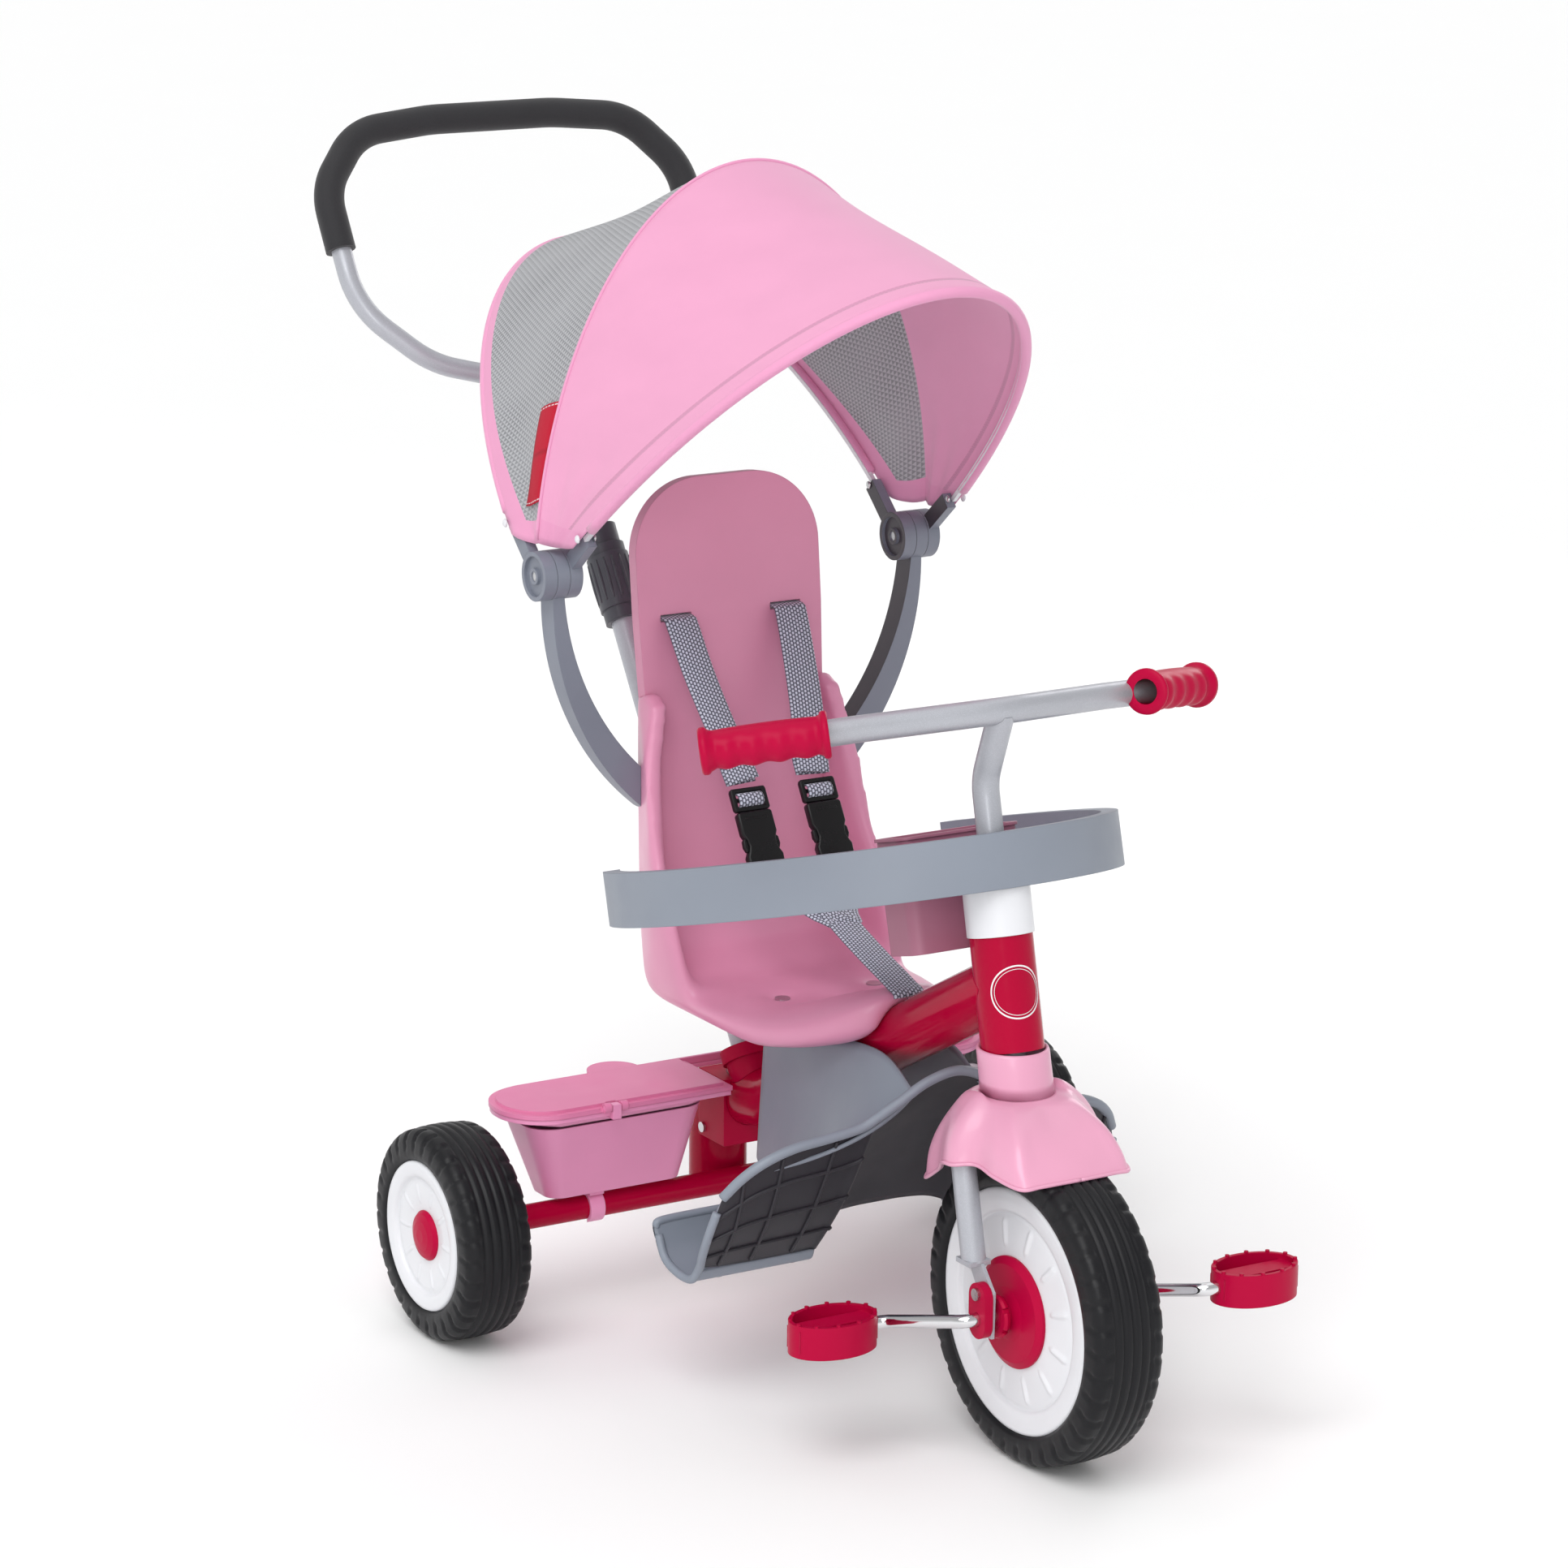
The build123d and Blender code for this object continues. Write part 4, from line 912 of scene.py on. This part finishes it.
# ---- moulded surfaces ----
def spline_row(points, per, closed=False):
    """Catmull-Rom curve through a row of points, as an array."""
    pts = np.array(points, float)
    if closed:
        pts = np.vstack([pts[-1:], pts, pts[:2]])
    else:
        pts = np.vstack([2 * pts[0] - pts[1], pts, 2 * pts[-1] - pts[-2]])
    out = [catmull(*four, i / per) for four in zip(pts, pts[1:], pts[2:], pts[3:]) for i in range(per)]
    if not closed:
        out.append(pts[-2])
    return np.array(out)


def spline_surface(columns, per_u, per_v, closed=False):
    """Grid of points through the columns of control points; first axis runs over the columns."""
    down = np.array([spline_row(c, per_v) for c in columns])
    return np.stack([spline_row(down[:, k], per_u, closed) for k in range(down.shape[1])], axis=1)


def grid_piece(name, grid, mats, thick, body, closed=False, offset=-1):
    """Shell of even thickness on a grid of row millimetres; a second material is for its far side."""
    rows, cols = grid.shape[:2]
    verts = [P(*p) for p in grid.reshape(-1, 3)]
    obj = from_data(name, verts, quads(rows, cols, round_rows=closed, flip=True), mats)
    solid = obj.modifiers.new("wall", "SOLIDIFY")
    solid.thickness = thick / 1000
    solid.offset = offset
    solid.use_even_offset = False
    if len(mats) > 1:
        solid.material_offset = 1
        solid.material_offset_rim = 0
    baked(obj)
    shade_smooth(obj.data)
    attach(obj, body)
    return obj


def mirror_x(points):
    return [(-x, y, z) for x, y, z in points]


# ---- fender ----
def make_fender():
    """Saddle-shaped cowl over the wheel, bulged round each fork leg, under a plain sleeve."""
    def sleeve(angle, z=294.0, r=30.0):
        a = radians(angle)
        return (r * sin(a), 6.6 + 0.228 * (z - 127) - r * cos(a), z)

    half = [
        [sleeve(0), (0, 3, 289), (0, -20, 274), (0, -38, 257), (0, -47, 246)],
        [sleeve(22), (16, 2, 290), (26, -21, 274), (31, -36, 257), (33, -45, 245.5)],
        [sleeve(42), (29, 6, 291), (41, -19, 275), (48, -32, 258), (51, -39, 244)],
        [sleeve(62), (36, 18, 291), (47, 0, 276), (54, -8, 262), (57, -11, 247)],
        [sleeve(78), (38, 27, 293), (49, 18, 279), (55, 15, 265), (58, 14, 250)],
        [sleeve(92), (39, 39, 298), (55, 35, 285), (66, 31, 268), (72, 26, 249)],
        [sleeve(106), (38, 51, 297), (54, 49, 282), (65, 46, 265), (71, 43, 246)],
        [sleeve(124), (36, 66, 292), (48, 70, 274), (54, 71, 254), (56, 71, 230)],
        [sleeve(146), (26, 80, 287), (40, 92, 262), (47, 99, 238), (49, 101, 213)],
        [sleeve(164), (14, 88, 286), (22, 103, 262), (27, 112, 240), (29, 115, 218)],
        [sleeve(180), (0, 90, 286), (0, 106, 262), (0, 115, 241), (0, 118, 220)],
    ]
    columns = half + [mirror_x(c) for c in half[-2:0:-1]]
    pink = MAT["fender_pink"]
    surface = spline_surface(columns, 8, 8, True)
    skirt = grid_piece("fender_skirt", surface, [pink], 2.6, "fork", closed=True, offset=1)
    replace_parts(skirt, "fender")
    profile = ((30.0, 293), (29.7, 304), (29.4, 316), (29.4, 326.5), (28.9, 328.2), (27.6, 328.8),
               (26.5, 328.4), (26.2, 326), (26.2, 300))
    grid = np.array([[sleeve(a, z, r) for r, z in profile] for a in range(0, 360, 6)])
    grid_piece("fender_sleeve", grid, [pink], 0.4, "fork", closed=True)
    edge = [P(*p) for p in spline_row([c[-1] for c in columns], 8, True)]
    tube("fender_lip", edge + [edge[0]], 0.0016, pink, "fork", 8)


# ---- footrest ----
# the front surface's upper and lower edge from the right end to the middle, in row millimetres
FOOT_TOP = [(-189, 184, 194), (-177, 174, 211), (-160, 167, 224), (-135, 163, 233), (-104, 161, 237),
            (-76, 158, 242), (-62, 154, 250), (-56, 151, 255), (-44, 146, 264), (-24, 140, 278),
            (0, 136, 285)]
FOOT_LOW = [(-190, 219, 124), (-180, 219, 123), (-165, 219, 122), (-134, 220, 121), (-105, 220, 121),
            (-86, 221, 121), (-77, 222, 121), (-66, 240, 130), (-50, 250, 136), (-26, 253, 138),
            (0, 254, 138)]
# under the right wing: the curl's (y, z), each section's x at its start and end, and the end bead
HEEL_CURL = [(222, 121), (226, 113), (236, 109), (250, 108.5), (264, 112), (275, 121), (281, 133),
             (284, 145)]
HEEL_ENDS = [(-190, -196), (-188, -192), (-160, -162), (-120, -120), (-90, -90), (-80, -80)]
HEEL_SIDE = [(-193, 281, 134), (-193, 270, 117), (-192, 250, 110), (-191, 230, 111)]
HEEL_LIP = [(-194, 140), (-190, 145), (-160, 146), (-120, 146), (-88, 146), (-80, 143)]  # (x, z)


def foot_columns():
    columns = []
    for k, (top, low) in enumerate(zip(FOOT_TOP, FOOT_LOW)):
        top, low = np.array(top, float), np.array(low, float)
        swell = 7.0 if k < 7 else -9.0
        side = -7.0 if k == 0 else 0.0
        column = [top]
        for t in (0.16, 0.36, 0.58, 0.8):
            bow = sin(pi * t)
            bulge = np.array([side * bow, -0.8 * swell * bow, -0.5 * swell * bow])
            column.append(top + (low - top) * t + bulge)
        column.append(low)
        columns.append([tuple(p) for p in column])
    return columns


def foot_at(grid, u, t):
    """Point of the footrest's front surface at shares u across and t down, lifted off it a little."""
    rows, cols = grid.shape[:2]
    i, j = u * (rows - 1), t * (cols - 1)
    a, b = int(i), int(j)
    fa, fb = i - a, j - b
    a1, b1 = min(a + 1, rows - 1), min(b + 1, cols - 1)
    top = grid[a, b] * (1 - fa) + grid[a1, b] * fa
    low = grid[a, b1] * (1 - fa) + grid[a1, b1] * fa
    return top * (1 - fb) + low * fb + np.array([0, -0.5, -0.3])


def foot_ribs(front):
    """Lines of the right wing's ribs: three along it and three down it."""
    ribs = [[foot_at(front, u, t) for u in np.linspace(0.012, 0.295, 22)] for t in (0.30, 0.56, 0.80)]
    for u0, u1 in ((0.055, 0.075), (0.135, 0.135), (0.215, 0.200)):
        ribs.append([foot_at(front, u0 + (u1 - u0) * t, t) for t in np.linspace(0.05, 0.97, 22)])
    return ribs


def foot_saddle():
    """Control points of the right-hand panel that slopes from under the seat to the wing."""
    lines = []
    for s in np.linspace(0, 1, 7):
        outer = np.array([-150 + 112 * s, 170 + 212 * s, 216 - 70 * sin(0.5 * pi * s)])
        inner = np.array([-31.0, 146 + 238 * s, np.interp(s, (0, 0.22, 0.62, 1), (268, 293, 277, 246))])
        knee = np.array([-38.0 - 26 * (1 - s), outer[1] * 0.5 + inner[1] * 0.5, outer[2] + 10 * (1 - s)])
        lines.append([inner * (1 - t) ** 2 + knee * 2 * t * (1 - t) + outer * t * t
                      for t in np.linspace(0, 1, 7)])
    return lines


def make_footrest():
    """Two ribbed wings with heel lips and a plain shell between them, under one pale rolled rim."""
    near = foot_columns()
    columns = near + [mirror_x(c) for c in near[-2::-1]]
    front = spline_surface(columns, 8, 6)
    grey = MAT["grey"]
    # the shell's far side, its underside, and the ribs take the dark material: darker underneath than the
    # grey top
    shell = grid_piece("footrest_shell", front, [grey, MAT["dark"]], 4.0, "frame", offset=1)
    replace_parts(shell, "footrest")
    for side, hand in SIDES:
        def placed(points):
            return [P(-side * x, y, z) for x, y, z in points]

        cols = []
        for x0, x1 in HEEL_ENDS:
            col = [(-side * (x0 + (x1 - x0) * i / 7), y, z) for i, (y, z) in enumerate(HEEL_CURL)]
            if x0 < -185:
                col[7] = (*col[7][:2], col[7][2] - 2.5)
            cols.append(col)
        grid_piece("footrest_heel_" + hand, spline_surface(cols, 5, 4), [grey], 4.0, "frame", offset=0)
        for k, rib in enumerate(foot_ribs(front)):
            tube(f"footrest_rib_{hand}_{k}", placed(rib), 0.0017, MAT["dark"], "frame", 8)
        bead = HEEL_SIDE + columns[0][5:0:-1]
        tube("footrest_end_bead_" + hand, placed(spline_row(bead, 6)), 0.0036, grey, "frame", 12)
        lip = placed((x, 284, z) for x, z in HEEL_LIP)
        tube("footrest_lip_bead_" + hand, smooth_path(lip, 6), 0.0034, grey, "frame", 12)
        saddle = [[(-side * x, y, z) for x, y, z in line] for line in foot_saddle()]
        grid_piece("footrest_saddle_" + hand, spline_surface(saddle, 6, 5), [grey], 3.4, "frame",
                   offset=0)
    rim = [P(*p) for p in spline_row([c[0] for c in columns], 8)]
    tube("footrest_rim", rim, 0.0042, grey, "frame")


# ---- wheels ----
GROOVES = ((0.0, 2.0), (0.30, 2.0), (0.58, 1.6))  # share of the tread's half width, depth in millimetres


def spun(name, centre, rows, mat, body, closed=True):
    """Shell from rings of (x, radius) per angle; rows[k] holds the rings' points at angle k."""
    around, cols = len(rows), len(rows[0])
    verts = []
    for a, row in zip(turns(around), rows):
        for x, r in row:
            verts.append(centre + Vector((x, -r * sin(a), r * cos(a))) / 1000)
    faces = quads(around, cols, round_rows=True, round_cols=closed)
    obj = from_data(name, verts, faces, [mat], body)
    face_outward(obj.data)
    return obj


def make_tyre(name, node, centre, outer, half, inner, blocks, body):
    """Tyre with five rounded tread ribs and curved sipes that run from the tread over the shoulder."""
    path = [(-half + 3, inner), (-half + 0.6, inner + 3), (-half, inner + 8), (-half + 0.2, outer - 15)]
    for i in range(1, 9):
        a = 0.5 * pi * i / 8
        path.append((-half + 10 * (1 - cos(a)) + 0.2, outer - 13 + 11.6 * sin(a)))
    xs = np.linspace(-half + 11.5, half - 11.5, 33)
    path += [(x, outer - 1.4 * (x / (half - 11.5)) ** 2) for x in xs]
    path += [(-x, r) for x, r in path[11::-1]]
    rows = []
    for k in range(blocks * 8):
        row = []
        for x, r in path:
            depth = 0.0
            if abs(x) < half - 9:
                for g, deep in GROOVES:
                    gap = (abs(x) - g * (half - 4)) / 1.25
                    depth = max(depth, deep * exp(-gap * gap))
            reach = clamp((abs(x) - half + 15) / 3.0) * clamp((r - outer + 19) / 3.0)
            phase = k / 8 + 0.012 * (outer - r) + 0.006 * (half - abs(x)) + (0.5 if x > 0 else 0.0)
            near = abs((phase % 1.0) - 0.5)
            depth = max(depth, 2.1 * reach * max(0.0, 1 - near / 0.13) ** 0.5)
            if r > outer - 6:
                row.append((x, r - depth))
            else:
                row.append((x - copysign(depth * 0.8, x), r - 0.2 * depth))
        rows.append(row)
    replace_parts(spun(name, centre, rows, MAT["tyre"], body), node)


def make_rim(name, node, centre, face_path, spans, ribs, body, hand=(-1, 1)):
    """White wheel faces: rolled flange, step and smooth disc with short raised ribs."""
    low, high, wide, tall = spans
    dense = []
    for (x0, r0), (x1, r1) in zip(face_path, face_path[1:]):
        steps = max(1, int(abs(r1 - r0) / 1.7))
        dense += [(x0 + (x1 - x0) * i / steps, r0 + (r1 - r0) * i / steps) for i in range(steps)]
    dense.append(face_path[-1])
    around = 300
    made = []
    for side in hand:
        rows = []
        for k in range(around):
            row = []
            for x, r in dense:
                lift = 0.0
                if low - 4 < r < high + 4:
                    turn = (k / around * ribs) % 1.0 - 0.5
                    across = abs(turn) / ribs * 2 * pi * r
                    past = max(0.0, low - r, r - high)
                    gap = hypot(across, past) / wide
                    lift = tall * max(0.0, 1 - gap ** 4) if gap < 1 else 0.0
                row.append((side * (x + lift), r))
            rows.append(row)
        label = name + ("_outer" if side == hand[-1] else "_inner") if len(hand) > 1 else name
        made.append(spun(label, centre, rows, MAT["white"], body, closed=False))
    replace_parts(made[0], node)


# profiles from the rim inwards, (distance from the wheel's middle plane, radius) in millimetres
FRONT_FACE = [(20.0, 100.6), (27.0, 100.6), (29.2, 99.6), (30.0, 97.5), (29.6, 90), (28.6, 83.5),
              (27.6, 81.2), (25.6, 80.6), (25.2, 79.4), (26.4, 77.0), (27.2, 70), (28.2, 58),
              (29.0, 48), (29.2, 44), (28.6, 8)]
REAR_FACE = [(10.0, 64.6), (28.5, 64.6), (30.8, 63.6), (31.4, 61.5), (30.8, 55), (29.6, 51.5),
             (28.0, 50.4), (26.4, 49.6), (26.2, 48.4), (27.0, 46), (26.6, 34), (25.4, 24), (25.0, 20)]
REAR_BACK = [(10.0, 64.6), (27.0, 64.6), (28.0, 63.4), (27.0, 60.5), (12.0, 58), (9.0, 56), (9.0, 20),
             (12.0, 16), (26.0, 14.5), (27.0, 12), (27.0, 6)]
FRONT_RADIUS, REAR_RADIUS = 127.0, 92.0


def make_wheels():
    axle = P(0, 0, 127)
    make_tyre("front_tyre_skin", "front_tyre", axle, FRONT_RADIUS, 32.5, 100.4, 38, "front_wheel")
    make_rim("front_wheel_face", "front_rims", axle, FRONT_FACE, (56, 72, 2.6, 1.5), 12, "front_wheel")
    for side, hand in SIDES:
        body = "rear_wheel_" + hand
        lo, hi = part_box("rear_tyre_" + hand)
        centre = (Vector(lo) + Vector(hi)) / 2
        make_tyre("rear_tyre_skin_" + hand, "rear_tyre_" + hand, centre, REAR_RADIUS, 31.6, 64.4, 30,
                  body)
        make_rim("rear_wheel_face_" + hand, "rear_rim_" + hand, centre, REAR_FACE, (31, 44, 2.0, 1.2), 10,
                 body, (side,))
        rows = [[(-side * x, r) for x, r in REAR_BACK] for _ in range(96)]
        spun("rear_wheel_back_" + hand, centre, rows, MAT["white"], body, closed=False)


# ---- handlebar grips ----
# (share of the length, radius in millimetres) of the inner flange and of the outer end
GRIP_INNER = [(0.004, 10.4), (0.0, 12.5), (0.0, 17.6), (0.012, 18.7), (0.032, 18.9), (0.052, 18.2),
              (0.062, 16.2), (0.08, 15.2)]
GRIP_OUTER = [(0.90, 15.4), (0.925, 16.6), (0.94, 18.2), (0.955, 18.8), (0.985, 18.6), (1.0, 17.0),
              (1.003, 10.0), (1.0035, 0.2)]
GRIP_ENDS = ((118.0, 77.0, 597.0), (233.0, 140.9, 578.6))  # left grip's axis in row millimetres


def make_grips():
    """Grips with round flanges, a swelling palm side and four finger waves on the front and underside."""
    segs = 40
    keys = GRIP_INNER + [(0.08 + 0.82 * i / 44, None) for i in range(1, 44)] + GRIP_OUTER
    for side, hand in SIDES:
        lo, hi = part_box("grip_" + hand)
        a, b = (P(side * x, y, z) for x, y, z in GRIP_ENDS)
        along = (b - a).normalized()
        inner = min(abs(lo[0]), abs(hi[0]))
        first = a + along * ((inner + 0.006 - abs(a.x)) / abs(along.x))
        length = (b - first).length + 0.0035
        fore = Vector((0, -1, -0.45))
        fore = (fore - along * fore.dot(along)).normalized()
        other = along.cross(fore)
        verts = []
        for s, r in keys:
            for turn in turns(segs):
                radius = r
                if r is None:
                    f = (s - 0.08) / 0.82
                    finger = max(0.0, cos(turn)) ** 0.8
                    palm = max(0.0, -cos(turn)) ** 1.5
                    radius = 15.1 + 1.9 * palm * sin(pi * f) ** 0.7
                    radius += finger * (0.4 - 1.25 * cos(2 * pi * 4 * f))
                out = swing(turn, fore, other)
                verts.append(first + along * (s * length) + out * radius / 1000)
        faces = quads(len(keys), segs, round_cols=True)
        obj = from_data("grip_skin_" + hand, verts, faces, [MAT["red"]], "fork")
        face_outward(obj.data)
        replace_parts(obj, "grip_" + hand)


# ---- decals and small details ----
BADGE_UP = 0.2515  # metres up the steering axis
RIB_RADIUS, RIB_LOW, RIB_HIGH = 0.0188, -0.026, 0.012  # metres from the collar's axis and along it


def head_ring(name, axis_point, axis, half_wide, half_tall, line):
    """Printed oval outline wrapped on the head tube, turned a little to the right."""
    radius, centre_angle, count = 0.0255, radians(-12), 72
    front = Vector((0, -1, 0))
    front = (front - axis * front.dot(axis)).normalized()
    side = axis.cross(front)
    verts = []
    for grow in (0.0, line):
        for a in turns(count):
            angle = centre_angle + (half_wide - grow) * cos(a) / radius
            up = (half_tall - grow) * sin(a)
            verts.append(axis_point + axis * up + swing(angle, front, side) * (radius + 0.00025))
    from_data(name, verts, quads(2, count, round_cols=True), [MAT["decal"]], "frame")


def make_details():
    """The head tube's plain badge and the twist collar's ribs."""
    steering, twist = JOINTS["steering"], JOINTS["collar_twist"]
    spot = Vector(steering["pos_m"]) + Vector(steering["axis"]) * BADGE_UP
    axis = Vector(steering["axis"]).normalized()
    head_ring("head_badge_outline", spot, axis, 0.0225, 0.0215, 0.0013)
    head_ring("head_badge_inner", spot, axis, 0.0195, 0.0185, 0.0005)
    slope = Vector(twist["axis"]).normalized()
    base = Vector(twist["pos_m"])
    side = slope.orthogonal().normalized()
    other = slope.cross(side)
    for k, angle in enumerate(turns(16)):
        out = swing(angle, side, other) * RIB_RADIUS
        low, high = base + slope * RIB_LOW + out, base + slope * RIB_HIGH + out
        tube(f"collar_rib_{k}", [low.lerp(high, i / 8) for i in range(9)],
             lambda s: 0.0016 * sin(pi * min(max(s, 0.06), 0.94)) ** 0.35, MAT["collar"],
             "twist_collar", 8)


CAD_LOOKS = {
    "red_paint": ("head_tube", "main_tube", "rear_axle_tube"),
    "silver": ("stem", "handlebar", "fork_legs", "fork_crown", "handle_post", "handle_tube",
               "seat_bracket"),
    "zinc": ("rear_axle_rod", "socket_screws", "seat_bolts", "bracket_screws", "hub_bolts"),
    "chrome": ("crank",),
    "bin_pink": ("storage_bin",),
    "pink": ("bin_lid",),
    # the tub's darker pink is painted shade
    "tub_pink": ("tray_tub",),
    "back_pink": ("seat_back",),
    "grey": ("tray",),
    # the arms' material paints shade on their inward faces
    "arm_grey": ("support_arm_right", "support_arm_left", "rear_bow_arms", "front_bow_arms"),
    "collar": ("twist_collar",),
    "dark": ("headset_bushes", "axle_bushes"),
    "red": ("handle_socket", "axle_brackets", "front_hubs", "clutch_sleeve", "pedal_right", "pedal_left",
            "rear_cap_right", "rear_cap_left"),
    "white": ("upper_collar", "rear_bow", "front_bow"),
    "tyre": ("footrest_feet",),
    "foam": ("handle_foam",),
}

make_materials()
make_camera()
make_stage()
for look, names in CAD_LOOKS.items():
    for node in names:
        one_material(NODES[node].data, MAT[look])
make_canopy()
make_harness()
make_seat_shell()
make_fender()
make_footrest()
make_wheels()
make_grips()
make_details()
